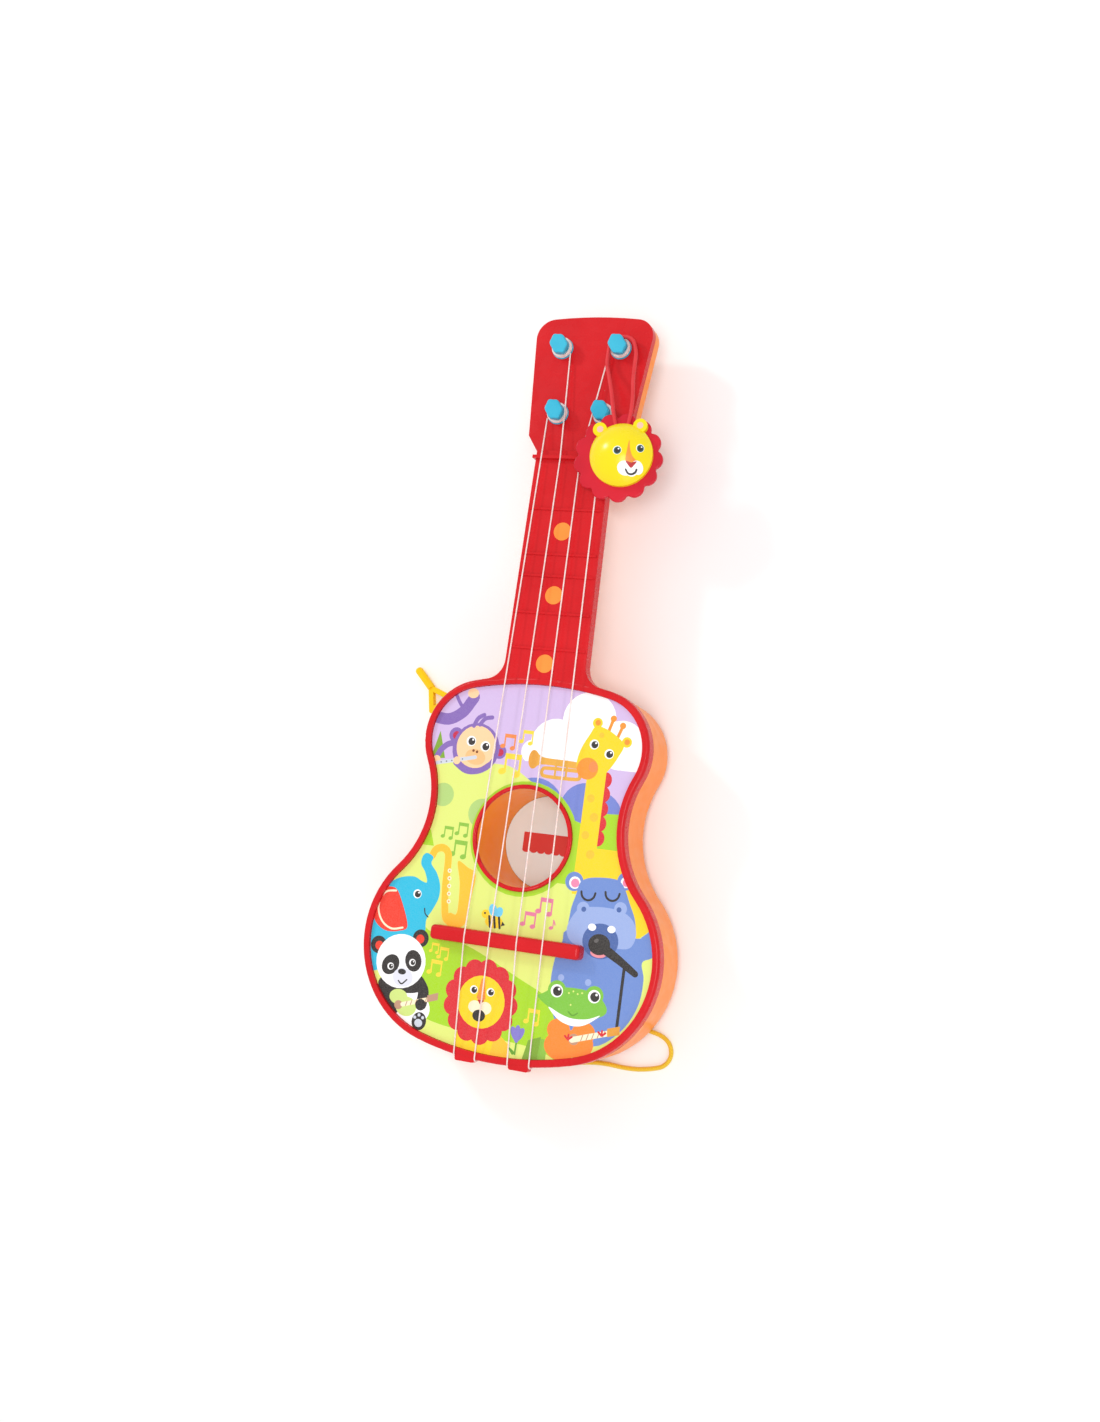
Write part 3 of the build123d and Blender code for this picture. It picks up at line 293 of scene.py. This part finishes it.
cord_curve.resolution_u = 8
cord_curve.use_fill_caps = True
cord_spline = cord_curve.splines.new("NURBS")
cord_spline.points.add(len(cord_points) - 1)
for point, place in zip(cord_spline.points, cord_points):
    point.co = (*[value * mm for value in place], 1.0)
cord_spline.order_u = 3
cord_spline.use_endpoint_u = True
strap_cord = bpy.data.objects.new("strap_cord", cord_curve)
bpy.context.scene.collection.objects.link(strap_cord)
wear(strap_cord, braid)
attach(strap_cord, "guitar")
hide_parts("strap_cord_out", "strap_cord_in", "strap_hank")

# ---------------------------------------------------------------- drawing in flat inks
inks = {
    "lilac": (208, 184, 226), "white": (253, 252, 252), "hill": (114, 130, 205),
    "lime": (222, 233, 122), "grass": (166, 213, 25), "tree": (124, 166, 46),
    "bush": (176, 209, 120), "purple": (132, 102, 178), "peach": (250, 206, 158),
    "tan": (246, 188, 128), "crimson": (194, 34, 74), "black": (42, 38, 38),
    "grey": (96, 92, 92), "silver": (204, 210, 222), "orange": (246, 146, 44),
    "note_orange": (238, 138, 74), "note_yellow": (244, 214, 58), "note_green": (138, 190, 62),
    "note_pink": (226, 122, 156), "brass": (228, 168, 64), "yellow": (246, 209, 18),
    "red": (216, 34, 46), "blue": (36, 186, 220),
    "scarlet": (238, 58, 38), "cream": (250, 236, 202), "gold": (252, 192, 44),
    "sky": (108, 202, 238), "hippo": (108, 138, 204), "muzzle": (152, 172, 222),
    "mouth": (72, 100, 164), "pink": (242, 134, 172), "tongue": (236, 142, 152),
    "pearl": (224, 224, 236), "brown": (126, 72, 32), "wood": (190, 146, 118),
    "pale_green": (206, 226, 128), "frog": (124, 192, 60), "leaf": (96, 158, 44),
    "fruit": (250, 134, 42), "violet": (132, 122, 202), "nose_red": (188, 30, 40), "iris": (20, 96, 92),
    "ear_pink": (236, 190, 170), "amber": (226, 156, 52),
}


class Drawing:
    """Flat coloured shapes in the order they are printed, in millimetres."""

    def __init__(self):
        self.shapes = []

    def shape(self, ink, *points):
        self.shapes.append((ink, list(points)))

    def spot(self, ink, x, y, wide, high=None, turn=0.0):
        """A round or oval spot."""
        high = wide if high is None else high
        steps = 12 + 4 * math.ceil(math.sqrt(max(wide, high)))
        lean = math.radians(turn)
        points = []
        for step in range(steps):
            angle = 2 * math.pi * step / steps
            across, up = wide * math.cos(angle), high * math.sin(angle)
            points.append((x + across * math.cos(lean) - up * math.sin(lean),
                           y + across * math.sin(lean) + up * math.cos(lean)))
        self.shape(ink, *points)

    def blob(self, ink, *points):
        """A closed shape with a smooth edge through the points."""
        self.shape(ink, *smooth(points, True))

    def band(self, ink, wide, *points, taper=1.0):
        """A line of the given width, smooth through the points, with round ends."""
        line = smooth(points, False)
        left, right = [], []
        for index, (x, y) in enumerate(line):
            before = line[max(index - 1, 0)]
            after = line[min(index + 1, len(line) - 1)]
            dx, dy = after[0] - before[0], after[1] - before[1]
            size = math.hypot(dx, dy)
            half = wide / 2 * (1 + (taper - 1) * index / (len(line) - 1))
            left.append((x - dy / size * half, y + dx / size * half))
            right.append((x + dy / size * half, y - dx / size * half))
        self.shape(ink, *cap(line[-1], left[-1], left), *cap(line[0], right[0], right[::-1]))

    def pair_of_notes(self, ink, x, y, size):
        """Two quavers joined by a beam."""
        for side in (-1, 1):
            foot = y - 0.42 * size - 0.05 * size * side
            self.spot(ink, x + side * 0.36 * size - 0.12 * size, foot, 0.2 * size, 0.15 * size, 15)
            stem = x + side * 0.36 * size
            self.shape(ink, (stem - 0.05 * size, foot), (stem + 0.06 * size, foot),
                       (stem + 0.06 * size, y + 0.45 * size), (stem - 0.05 * size, y + 0.45 * size))
        self.shape(ink, (x - 0.41 * size, y + 0.22 * size), (x + 0.42 * size, y + 0.2 * size),
                   (x + 0.42 * size, y + 0.46 * size), (x - 0.41 * size, y + 0.48 * size))

    def note(self, ink, x, y, size):
        """One quaver with its flag."""
        self.spot(ink, x - 0.1 * size, y - 0.4 * size, 0.24 * size, 0.18 * size, 15)
        self.band(ink, 0.11 * size, (x + 0.1 * size, y - 0.4 * size), (x + 0.1 * size, y + 0.4 * size))
        self.band(ink, 0.14 * size, (x + 0.1 * size, y + 0.38 * size), (x + 0.25 * size, y + 0.1 * size),
                  (x + 0.3 * size, y - 0.05 * size))

    def lid(self, ink, x, y, wide, deep, thick):
        """A closed eye or a smile: a shallow hanging arc."""
        self.band(ink, thick, *[
            (x - wide * math.cos(math.pi * step / 6), y - deep * math.sin(math.pi * step / 6))
            for step in range(7)
        ])

    def eye(self, x, y, size):
        """A round eye with a pupil and its glint."""
        self.spot("white", x, y, size)
        self.spot("black", x + 0.1 * size, y - 0.05 * size, 0.74 * size)
        self.spot("white", x + 0.34 * size, y + 0.3 * size, 0.2 * size)


def cap(centre, start, side):
    """A band's side, and then the half round that starts at its last point."""
    first = math.atan2(start[1] - centre[1], start[0] - centre[0])
    reach = math.hypot(start[0] - centre[0], start[1] - centre[1])
    arc = [
        (centre[0] + reach * math.cos(first - math.pi * step / 6),
         centre[1] + reach * math.sin(first - math.pi * step / 6))
        for step in range(1, 6)
    ]
    return [*side, *arc]


def smooth(points, closed, steps=5):
    """Points along a smooth curve that passes through each of the given points."""
    count = len(points)
    if count == 2:
        return list(points)
    found = []
    for index in range(count if closed else count - 1):
        if closed:
            near = [points[(index + shift) % count] for shift in (-1, 0, 1, 2)]
        else:
            near = [points[min(max(index + shift, 0), count - 1)] for shift in (-1, 0, 1, 2)]
        for step in range(steps):
            share = step / steps
            found.append(tuple(
                0.5 * (2 * b + (c - a) * share + (2 * a - 5 * b + 4 * c - d) * share**2
                       + (3 * b - a - 3 * c + d) * share**3)
                for a, b, c, d in zip(*near)
            ))
    if not closed:
        found.append(points[-1])
    return found


def turns_left(outline):
    """True if a closed outline runs anticlockwise."""
    return sum(a[0] * b[1] - b[0] * a[1] for a, b in zip(outline, [*outline[1:], outline[0]])) > 0


def print_drawing(name, drawing, lay, keep, thick, grid=0.0):
    """Makes the drawing a thin film: shapes overlap in order, and only what lies in keep is left.

    keep is a list of outlines, the first the film's edge and the others its holes. lay gives the
    place in metres of a point of the drawing. grid is the spacing of extra points, for a curved
    surface."""
    corners, faces = [], []
    for outline in [*keep, *[points for _, points in drawing.shapes]]:
        faces.append(list(range(len(corners), len(corners) + len(outline))))
        corners.extend(Vector(point) for point in (outline if turns_left(outline) else outline[::-1]))
    if grid:
        reach = max(max(abs(x), abs(y)) for x, y in keep[0])
        count = math.ceil(reach / grid)
        corners.extend(
            Vector((column * grid, row * grid))
            for column in range(-count, count + 1)
            for row in range(-count, count + 1)
        )
    flat, _, triangles, _, _, sources = delaunay_2d_cdt(corners, [], faces, 1, 1e-5, True)
    shown, shades = [], []
    for triangle, source in zip(triangles, sources):
        inside = set(source)
        holes = any(hole in inside for hole in range(1, len(keep)))
        layers = [index for index in inside if index >= len(keep)]
        if 0 in inside and not holes and layers:
            shown.append(triangle)
            shades.append(inks[drawing.shapes[max(layers) - len(keep)][0]])
    mesh = bpy.data.meshes.new(name)
    mesh.from_pydata([lay(*point) for point in flat], [], shown)
    ink = mesh.attributes.new("ink", "FLOAT_COLOR", "FACE")
    for index, shade in enumerate(shades):
        ink.data[index].color = linear(*shade)
    printed = bpy.data.objects.new(name, mesh)
    bpy.context.scene.collection.objects.link(printed)
    bpy.ops.object.select_all(action="DESELECT")
    bpy.context.view_layer.objects.active = printed
    printed.select_set(True)
    bpy.ops.object.mode_set(mode="EDIT")
    bpy.ops.mesh.select_all(action="SELECT")
    bpy.ops.mesh.delete_loose()
    bpy.ops.object.mode_set(mode="OBJECT")
    shell = printed.modifiers.new("thickness", "SOLIDIFY")
    shell.thickness = thick
    shell.offset = -1.0
    bpy.ops.object.modifier_apply(modifier="thickness")
    wear(printed, film)
    return printed


def outlines_of(node, normal_z=0.9):
    """The edge loops of a node's upward face, longest first, in millimetres."""
    shape = bmesh.new()
    shape.from_mesh(node.data)
    bmesh.ops.remove_doubles(shape, verts=shape.verts, dist=1e-6)
    shape.normal_update()
    follow = {}
    for face in shape.faces:
        if face.normal.z < normal_z:
            continue
        for loop in face.loops:
            if sum(other.normal.z > normal_z for other in loop.edge.link_faces) == 1:
                follow[loop.vert.index] = (loop.link_loop_next.vert.index, tuple(loop.vert.co.xy / mm))
    loops = []
    while follow:
        index = next(iter(follow))
        loop = []
        while index in follow:
            index, place = follow.pop(index)
            loop.append(place)
        loops.append(loop)
    shape.free()
    return sorted(loops, key=lambda loop: -max(abs(x) for x, _ in loop))


# ---------------------------------------------------------------- the label's picture
art_rise = -1.7              # of the drawing's zero line from the guitar's middle
hole_at = (0.0, -85.7)
art = Drawing()

# sky, cloud, hills and fields
art.shape("lilac", (-100, 20), (-100, -220), (100, -220), (100, 20))
cloud_puffs = (
    (-1, -38, 6.5), (12, -33.5, 14.8), (30, -18, 15.5), (50, -30, 13.5), (59, -35, 11), (24, -33, 12),
)
for x, y, reach in cloud_puffs:
    art.spot("white", x, y, reach)
art.shape("lilac", (-70, -43.5), (-70, -80), (70, -80), (70, -43.5))
art.spot("hill", 4, -70, 18)
art.spot("hill", 34, -66, 14.5, 14)
art.spot("hill", 42, -71, 14, 15)
art.shape("grass", (18, -70), (33, -74), (46, -67.5), (62, -66.5), (62, -87), (34, -109), (18, -109))
art.shape("lime", *smooth([(-70, -52), (-45, -48), (-20, -46.8), (-10, -48.5), (0, -54), (14, -62)], False),
          (20, -72), (20, -107.5), (100, -107.5), (100, -220), (-100, -220), (-100, -60))
art.shape("tree", (-58, -31.5), (-62, -48), (-53, -46.5))
art.shape("grass", (-55.5, -87), (-62, -96), (-52.3, -96))
art.spot("bush", -51, -67, 6.6)
art.spot("bush", -26, -75, 8.2)
art.spot("grass", 0.6, hole_at[1] - 0.4, 31.6)
art.shape("grass", *smooth([(-56, -141), (-48, -142.6), (-38, -144.5), (-20, -149), (8, -160.5),
          (26, -168), (36, -174), (40, -200), (22, -196), (-20, -193.5), (-42, -190.5),
          (-60, -184)], True))

# monkey with a flute
art.band("purple", 6.6, (-64, -23.5), (-54, -24.5), (-46, -20), (-41.5, -13.5), (-40, -11))
art.band("purple", 2.0, (-52, -9), (-49, -14), (-45, -19))
art.spot("peach", -41, -8.8, 3.4, 2.8)
art.band("purple", 3.4, (-46, -37), (-52, -38.5), (-56, -42), (-58, -46))
art.spot("peach", -58, -47.8, 2.4)
art.spot("purple", -48, -33, 4.3)
art.spot("crimson", -47.8, -33.2, 2.3)
art.spot("purple", -20.3, -40, 4.0)
art.spot("crimson", -20.0, -40.4, 2.1)
art.spot("purple", -35.0, -39.5, 14.3)
art.spot("peach", -35.0, -38.6, 11.9)
art.spot("tan", -34.6, -44.2, 6.2, 4.4, -8)
art.eye(-38.3, -35.6, 2.9)
art.eye(-29.4, -37.8, 2.9)
art.spot("brown", -36.2, -40.8, 0.8)
art.spot("brown", -34.0, -41.3, 0.8)
art.band("purple", 3.2, (-25, -47.5), (-31, -51.6), (-39, -52.4), (-46, -48.5))
art.band("silver", 2.1, (-57.5, -49.6), (-34.6, -44.4))
for hole in range(5):
    art.spot("grey", -55 + 3.2 * hole, -49.0 + 0.72 * hole, 0.4)
art.spot("peach", -45.5, -47.2, 2.2)
art.band("purple", 2.4, (-38, -27), (-36, -22.6), (-32.6, -20.4))
art.band("purple", 2.4, (-34.4, -26), (-31.6, -22.4), (-27.6, -21.4))

# notes beside the monkey, and the trumpet
art.pair_of_notes("note_orange", -15, -33.5, 8.2)
art.pair_of_notes("note_yellow", -4.6, -30.2, 7.6)
art.pair_of_notes("note_yellow", -11.6, -46, 12)
art.band("brass", 2.0, (27, -46.2), (9.5, -46.2), (6.6, -47.2), (6.4, -49.6), (9.5, -50.8), (26, -50.8),
         (28.6, -49.4), (28, -46))
art.band("brass", 1.2, (14, -50.6), (14, -41.5))
art.band("brass", 1.2, (20.5, -50.6), (20.5, -41.5))
art.blob("brass", (0.8, -47), (4.5, -44.8), (12, -44.5), (30, -45.0), (31, -42.4), (24, -41.2),
         (10, -40.8), (4.5, -40.0), (0.8, -37.4))
art.spot("amber", 0.2, -42.2, 2.8, 5.2)

# giraffe
for scallop in range(5):
    art.spot("red", 43.6, -49.4 - 7.9 * scallop, 3.7, 4.3)
art.shape("yellow", (32.7, -44), (43.6, -44), (43.6, -86.5), (66, -86.5), (78, -108), (84, -122),
          (72, -132), (60, -112), (32.7, -112))
art.spot("yellow", 35, -19, 2.9)
art.spot("orange", 35.2, -18.8, 1.6)
art.spot("yellow", 53, -28, 2.9)
art.spot("orange", 53.1, -27.9, 1.6)
art.band("orange", 1.8, (41.6, -24), (43.6, -16.8))
art.spot("orange", 43.8, -15.9, 1.8)
art.band("orange", 1.8, (47.2, -26.5), (49.4, -20.2))
art.spot("orange", 49.6, -19.3, 1.8)
art.blob("yellow", (31.6, -25), (33.8, -21.2), (38, -21), (45, -24), (51.5, -29.4), (49.4, -36),
         (45.4, -43), (40, -49), (33, -50.4), (27.6, -47), (25.8, -41), (27.6, -33))
art.spot("orange", 32.4, -44.2, 6.2, 6.0)
art.spot("note_orange", 35.6, -43, 2.6, 3.0)
art.eye(34.6, -30.8, 2.7)
art.eye(43.8, -35.2, 2.7)
coat_spots = ((38.2, -25.4, 1.5), (36.6, -60, 2.2), (39.8, -70, 2.4), (36.2, -80, 2.2), (40.4, -90, 2.4))
for x, y, reach in coat_spots:
    art.spot("gold", x, y, reach)

# elephant and its saxophone
art.pair_of_notes("note_green", -44.4, -87.4, 6.8)
art.pair_of_notes("note_green", -35.8, -84.8, 7.4)
art.pair_of_notes("note_green", -36, -95.6, 9.4)
art.band("gold", 4.2, (-52.4, -101.5), (-50.6, -97.8), (-46.6, -96.4), (-43.2, -98.6), (-42.2, -104),
         (-41.8, -118), (-39.6, -133), (-36.8, -136.2))
art.blob("gold", (-36.4, -102.8), (-30, -105.4), (-24.6, -108.8), (-25.4, -122), (-26.6, -135),
         (-30.4, -138.6), (-36.4, -138.8), (-40.4, -135.2), (-37, -131.4), (-33.2, -131.8),
         (-32.6, -126), (-33.6, -114))
for key in range(5):
    art.spot("cream", -40.6 + 0.5 * key, -108.5 - 4.2 * key, 1.2)
    art.spot("amber", -40.6 + 0.5 * key, -108.5 - 4.2 * key, 0.5)
art.blob("blue", (-77, -121), (-70.5, -116), (-62, -114.3), (-56.5, -116.2), (-53.4, -116.4),
         (-55.4, -111), (-58.4, -107), (-58.2, -102.6), (-55.8, -100.4), (-51.6, -102.2), (-52.2, -106),
         (-48.2, -110.6), (-45.2, -117), (-44.9, -124), (-47.6, -131), (-50.6, -137), (-51, -146),
         (-60, -160), (-86, -170), (-92, -150), (-86, -136))
art.blob("scarlet", (-80.4, -123.4), (-72.6, -121.8), (-67.6, -128), (-61.6, -141.6), (-66, -145.2),
         (-75, -146), (-82.4, -141), (-84, -131))
art.band("cream", 1.1, (-71.6, -123.4), (-77.4, -124.6), (-80.8, -129.4), (-80.6, -136), (-77, -141.8),
         (-71, -144.6), (-64.4, -143.2))
art.eye(-58.2, -123.6, 2.5)
art.band("black", 0.7, (-52.6, -131), (-51.8, -133.8), (-49.8, -135.4))

# bee, pink notes
art.spot("yellow", -15.6, -129.2, 2.4)
art.spot("black", -16, -128.8, 0.6)
art.spot("sky", -11.4, -126.6, 2.4, 3.4, 20)
art.spot("sky", -7.8, -127.4, 2.2, 3.0, -20)
art.spot("yellow", -10, -133, 5.4, 3.3)
for stripe in range(3):
    art.band("black", 1.3, (-13.2 + 2.9 * stripe, -130.2), (-12 + 2.9 * stripe, -135.8))
art.shape("black", (-5.2, -132), (-3.2, -133.8), (-5.6, -134.8))
art.pair_of_notes("note_pink", 10.8, -128.6, 8.2)
art.pair_of_notes("note_pink", 19.2, -120.4, 9.0)
art.note("note_pink", 24, -129.6, 5.4)

# hippo with a microphone
art.blob("hippo", (35, -131), (31, -138), (28.2, -147), (27.4, -160), (30, -174), (38, -186), (56, -190),
         (70, -180), (77.6, -166), (79, -152), (77, -143), (83, -139), (90, -128), (84, -122),
         (76, -129), (70, -131))
art.spot("hippo", 33.4, -105.4, 5.2)
art.spot("white", 33.8, -106, 3.3)
art.spot("pink", 34.0, -106.2, 2.4)
art.spot("hippo", 62.4, -101.8, 4.8)
art.spot("white", 62.6, -102.4, 3.0)
art.spot("pink", 62.8, -102.6, 2.1)
art.blob("hippo", (37, -105.4), (43, -102.2), (56, -101.4), (61.4, -104.4), (66, -113), (70.6, -123),
         (70, -134), (52, -140), (35, -134), (33.4, -122), (35.4, -112))
art.spot("muzzle", 40.4, -119, 3.6)
art.spot("muzzle", 61.4, -116.6, 3.6)
art.blob("muzzle", (36.4, -121.4), (41, -118.4), (52, -117), (62.6, -118), (69.4, -122.4),
         (71.8, -129.6), (69.4, -136.2), (62, -137.6), (52, -136.6), (42, -139), (35, -136.6),
         (32.6, -130))
art.spot("mouth", 40.8, -119.4, 1.4)
art.spot("mouth", 60.6, -117.2, 1.4)
art.lid("black", 42.2, -110.2, 4.0, 4.2, 1.2)
art.lid("black", 55.8, -108.8, 4.0, 4.2, 1.2)
art.spot("mouth", 52.4, -135, 10.2, 9.4)
art.spot("tongue", 52.2, -141.4, 4.6, 2.4)
art.spot("white", 46.8, -128.2, 2.3, 1.9)
art.spot("white", 57.8, -128, 2.3, 1.9)
art.band("black", 1.7, (67.6, -146), (67.6, -181))
art.band("black", 6.4, (50, -136.4), (54, -137.4))
art.spot("black", 52, -136.8, 6.2, 5.6)
art.band("black", 5.6, (54, -138), (64, -143.4), (74, -149.4), taper=0.6)
art.spot("grey", 50.2, -135, 1.4, 1.0, 30)
art.blob("hippo", (28.4, -148), (34, -146), (46, -150), (52.8, -154), (49, -161), (38, -163), (28.6, -160))
for toe in ((33, -157), (48.6, -157.4)):
    art.spot("muzzle", *toe, 1.8)

# panda with a ukulele
art.spot("black", -77.6, -154.4, 4.9)
art.spot("scarlet", -77.2, -154.8, 2.5)
art.spot("black", -52.4, -147.6, 4.9)
art.spot("scarlet", -52.6, -148, 2.5)
art.spot("white", -56, -186, 15, 10.4)
art.band("black", 7.4, (-71, -175), (-68, -181), (-63, -187))
art.band("black", 6.6, (-50, -171), (-46.4, -176), (-46.6, -183))
art.spot("black", -60, -174.6, 13, 4)
art.spot("white", -62.6, -161.6, 15.2, 14.9)
art.spot("black", -68.6, -164.2, 5.0, 6.0, -35)
art.spot("black", -55, -160.4, 5.0, 6.0, 20)
for x, y in ((-68.4, -165.2), (-55.4, -161.4)):
    art.spot("white", x, y, 2.0)
    art.spot("black", x + 0.3, y, 1.4)
    art.spot("white", x + 0.7, y + 0.5, 0.4)
art.spot("pearl", -60, -170.2, 6.2, 5.2)
art.spot("black", -61, -167.2, 2.5, 1.6)
art.band("black", 0.8, (-62.4, -172.4), (-60.2, -173.8), (-57.4, -171.2))
art.spot("pale_green", -61, -181, 5.6, 4.2)
art.spot("pale_green", -55.6, -185.6, 6.4, 5.4)
art.spot("wood", -60.4, -185.4, 2.5)
art.band("cream", 2.4, (-58, -184.8), (-40, -179))
for fret in range(5):
    foot = (-56 + 2.9 * fret, -185.2 + 0.93 * fret)
    tip = (-55.4 + 2.9 * fret, -182.8 + 0.93 * fret)
    art.band("wood", 0.5, foot, tip)
art.shape("wood", (-43.4, -181.6), (-37, -179.4), (-37.2, -175.4), (-43.6, -177.8))
art.spot("black", -47, -183.4, 3.2)
art.spot("black", -46.6, -192.4, 4.4, 5.0, -10)
art.spot("silver", -46.8, -193.4, 2.4, 2.2)
for pad in ((-49.4, -190.6), (-47, -189), (-44.6, -190.2)):
    art.spot("silver", *pad, 0.9)

# lion
art.shape("yellow", (-23, -194), (0, -194.5), (-2, -210), (-25, -210))
art.shape("gold", (-1, -194.5), (3, -193), (8.5, -197), (9, -210), (-3, -210))
lion_at = (-11.6, -176.4)
for scallop in range(13):
    angle = 2 * math.pi * scallop / 13
    art.spot("red", lion_at[0] + 16.4 * math.cos(angle), lion_at[1] + 17.6 * math.sin(angle), 5.6)
art.spot("red", *lion_at, 18, 19.5)
art.spot("yellow", -11.2, -176.6, 13.9, 14.2)
art.eye(-16.4, -170.6, 2.3)
art.eye(-6.4, -170.6, 2.3)
art.shape("orange", (-12.6, -164), (-10.6, -164), (-8.8, -175), (-14.2, -175))
art.shape("note_orange", (-14.2, -174), (-8.8, -174), (-11.5, -177.6))
art.spot("cream", -14.6, -179.6, 3.8, 3.4)
art.spot("cream", -8.4, -179.6, 3.8, 3.4)
art.spot("black", -11.5, -184, 3.8, 3.2)
art.shape("nose_red", (-13.6, -175.6), (-9.4, -175.6), (-11.5, -178.2))
art.pair_of_notes("note_yellow", -42.8, -151.4, 5.4)
art.pair_of_notes("note_yellow", -37, -153.6, 6.6)
art.pair_of_notes("note_yellow", -40.6, -161.8, 8.2)
art.pair_of_notes("note_yellow", 20.2, -179.6, 8.2)

# flower and bushes
art.band("leaf", 1.0, (12.4, -194), (12.2, -201))
art.blob("leaf", (12, -200), (8, -197.6), (10.6, -201.4))
for lean, reach in ((-28, 5.2), (0, 6.0), (28, 5.2)):
    side = math.radians(lean)
    art.spot("violet", 12.2 + 3.2 * math.sin(side), -191.6 + 1.4 * math.cos(side), 1.9, reach * 0.8, -lean)
art.shape("tree", (19, -192.4), (26, -189.6), (27, -206), (16, -206))
art.shape("note_green", (26, -190.6), (30, -190.6), (30, -206), (25, -206))

# frog with a guitar
art.spot("fruit", 35.4, -184.4, 6.6, 6.0)
art.spot("fruit", 49.6, -184, 6.6, 6.0)
art.spot("fruit", 37.6, -192.6, 9.4, 7.6)
art.spot("fruit", 47, -190, 9.0, 7.6)
art.spot("white", 32, -164.4, 4.9)
for x in (31.6, 53):
    art.spot("frog", x, -163.8, 5.2)
art.blob("frog", (24, -166.4), (29, -163.4), (37, -161.6), (48, -161.6), (56, -164), (60.8, -169.4),
         (59.4, -173.4), (52, -176.4), (42, -178), (32.4, -175.4), (25, -171.6), (21, -168.4))
art.blob("white", (28, -173.2), (36, -176.2), (43, -177.4), (51, -176.4), (57.6, -173.6), (50, -179.6),
         (42.4, -181.2), (34.4, -179))
for x in (31.6, 53):
    art.eye(x, -164.2, 3.5)
art.band("leaf", 0.8, (39.6, -174.2), (42.2, -175.8), (44.8, -174.2))
for dot in ((38.6, -164.4), (41, -163.2), (43.6, -164.2), (46, -163.4), (40.4, -170.4)):
    art.spot("lime", *dot, 0.5)
art.spot("wood", 44.6, -188, 3.0)
art.band("cream", 3.0, (43.6, -188.4), (65, -181.4))
for fret in range(5):
    art.band("wood", 0.5, (48.6 + 3 * fret, -188.2 + 0.98 * fret), (49.4 + 3 * fret, -185.2 + 0.98 * fret))
art.shape("amber", (63, -184), (69.6, -181.8), (69.4, -177.4), (62.4, -179.6))
for x, y in ((41.4, -188.6), (59.8, -183.8)):
    for lean in (-50, 0, 50):
        side = math.radians(lean)
        art.band("red", 1.1, (x, y), (x + 2.6 * math.sin(side), y + 2.6 * math.cos(side)))

label_low, label_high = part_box("face_label")
label_print = print_drawing(
    "label_print",
    art,
    lambda x, y: (x * mm, (y + art_rise) * mm, label_high.z),
    [[(x, y - art_rise) for x, y in loop] for loop in outlines_of(nodes["face_label"])],
    label_high.z - label_low.z,
)
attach(label_print, "guitar")
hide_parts("face_label")

# ---------------------------------------------------------------- the charm's face
charm_lean = math.radians(7.5)
across = Vector((math.cos(charm_lean), 0.0, -math.sin(charm_lean)))
upward = Vector((0.0, 1.0, 0.0))
outward = across.cross(upward)
charm_at = (29.2, 125.0, 47.91)
head_shift = (2.2, 0.8, 5.5)     # of the head on the charm: across, up and out
head_middle = Vector(charm_at) * mm + (
    across * head_shift[0] + upward * head_shift[1] + outward * head_shift[2]
) * mm
head_mesh = nodes["charm_head"].data
head_tree = BVHTree.FromPolygons(
    [vertex.co for vertex in head_mesh.vertices], [polygon.vertices[:] for polygon in head_mesh.polygons]
)
print_proud = 0.06 * mm
probe_height = 30.0              # over the head, that its surface is looked for from
probe_miss = 26                  # down from there to a point that lies past the head's edge


def on_charm(x, y):
    """The place on the charm's head over a point of its face's drawing."""
    above = head_middle + (across * x + upward * y + outward * probe_height) * mm
    hit, _, _, _ = head_tree.ray_cast(above, -outward)
    return (hit if hit else above - outward * probe_miss * mm) + outward * print_proud


def print_on_charm(name, drawing, keep):
    printed = print_drawing(name, drawing, on_charm, [keep], 0.1 * mm, grid=0.8)
    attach(printed, "charm")


face = Drawing()
face.blob("orange", (5.3, 6.4), (6.4, 1.6), (8.2, -2.4), (10.6, -4.6), (7.8, -5.4), (4.8, -5.2), (4.9, 0.4))
for x, y, wide in ((-0.4, 0.1, 2.4), (11.4, 2.8, 2.0)):
    face.spot("white", x, y, wide, 2.4)
    face.spot("iris", x + 0.1, y - 0.1, 0.86 * wide, 2.1)
    face.spot("black", x + 0.15, y - 0.1, 0.6 * wide, 1.5)
    face.spot("white", x + 0.3 * wide, y + 0.8, 0.2 * wide)
face.spot("white", 4.4, -8.9, 4.0, 3.7)
face.spot("white", 10.8, -7.7, 3.0, 3.5)
face.spot("white", 7.6, -9.6, 3.4, 3.0)
face.blob("nose_red", (4.8, -5.2), (7.7, -5.6), (10.4, -4.7), (9.3, -6.8), (7.8, -8.4), (6.2, -7.2))
face.band("black", 0.95, (5.1, -9.6), (6.3, -11.3), (8.3, -11.4), (10.0, -10.2), (10.6, -8.8))
print_on_charm("charm_face_print", face, [(-4, 8), (-4, -14), (15, -14), (15, 8)])
for side, (x, y) in (("left", (-13.3, 13.3)), ("right", (8.7, 16.8))):
    ear = Drawing()
    ear.spot("ear_pink", x, y, 1.8)
    around = [(x - 3, y + 3), (x - 3, y - 3), (x + 3, y - 3), (x + 3, y + 3)]
    print_on_charm(f"charm_ear_print_{side}", ear, around)
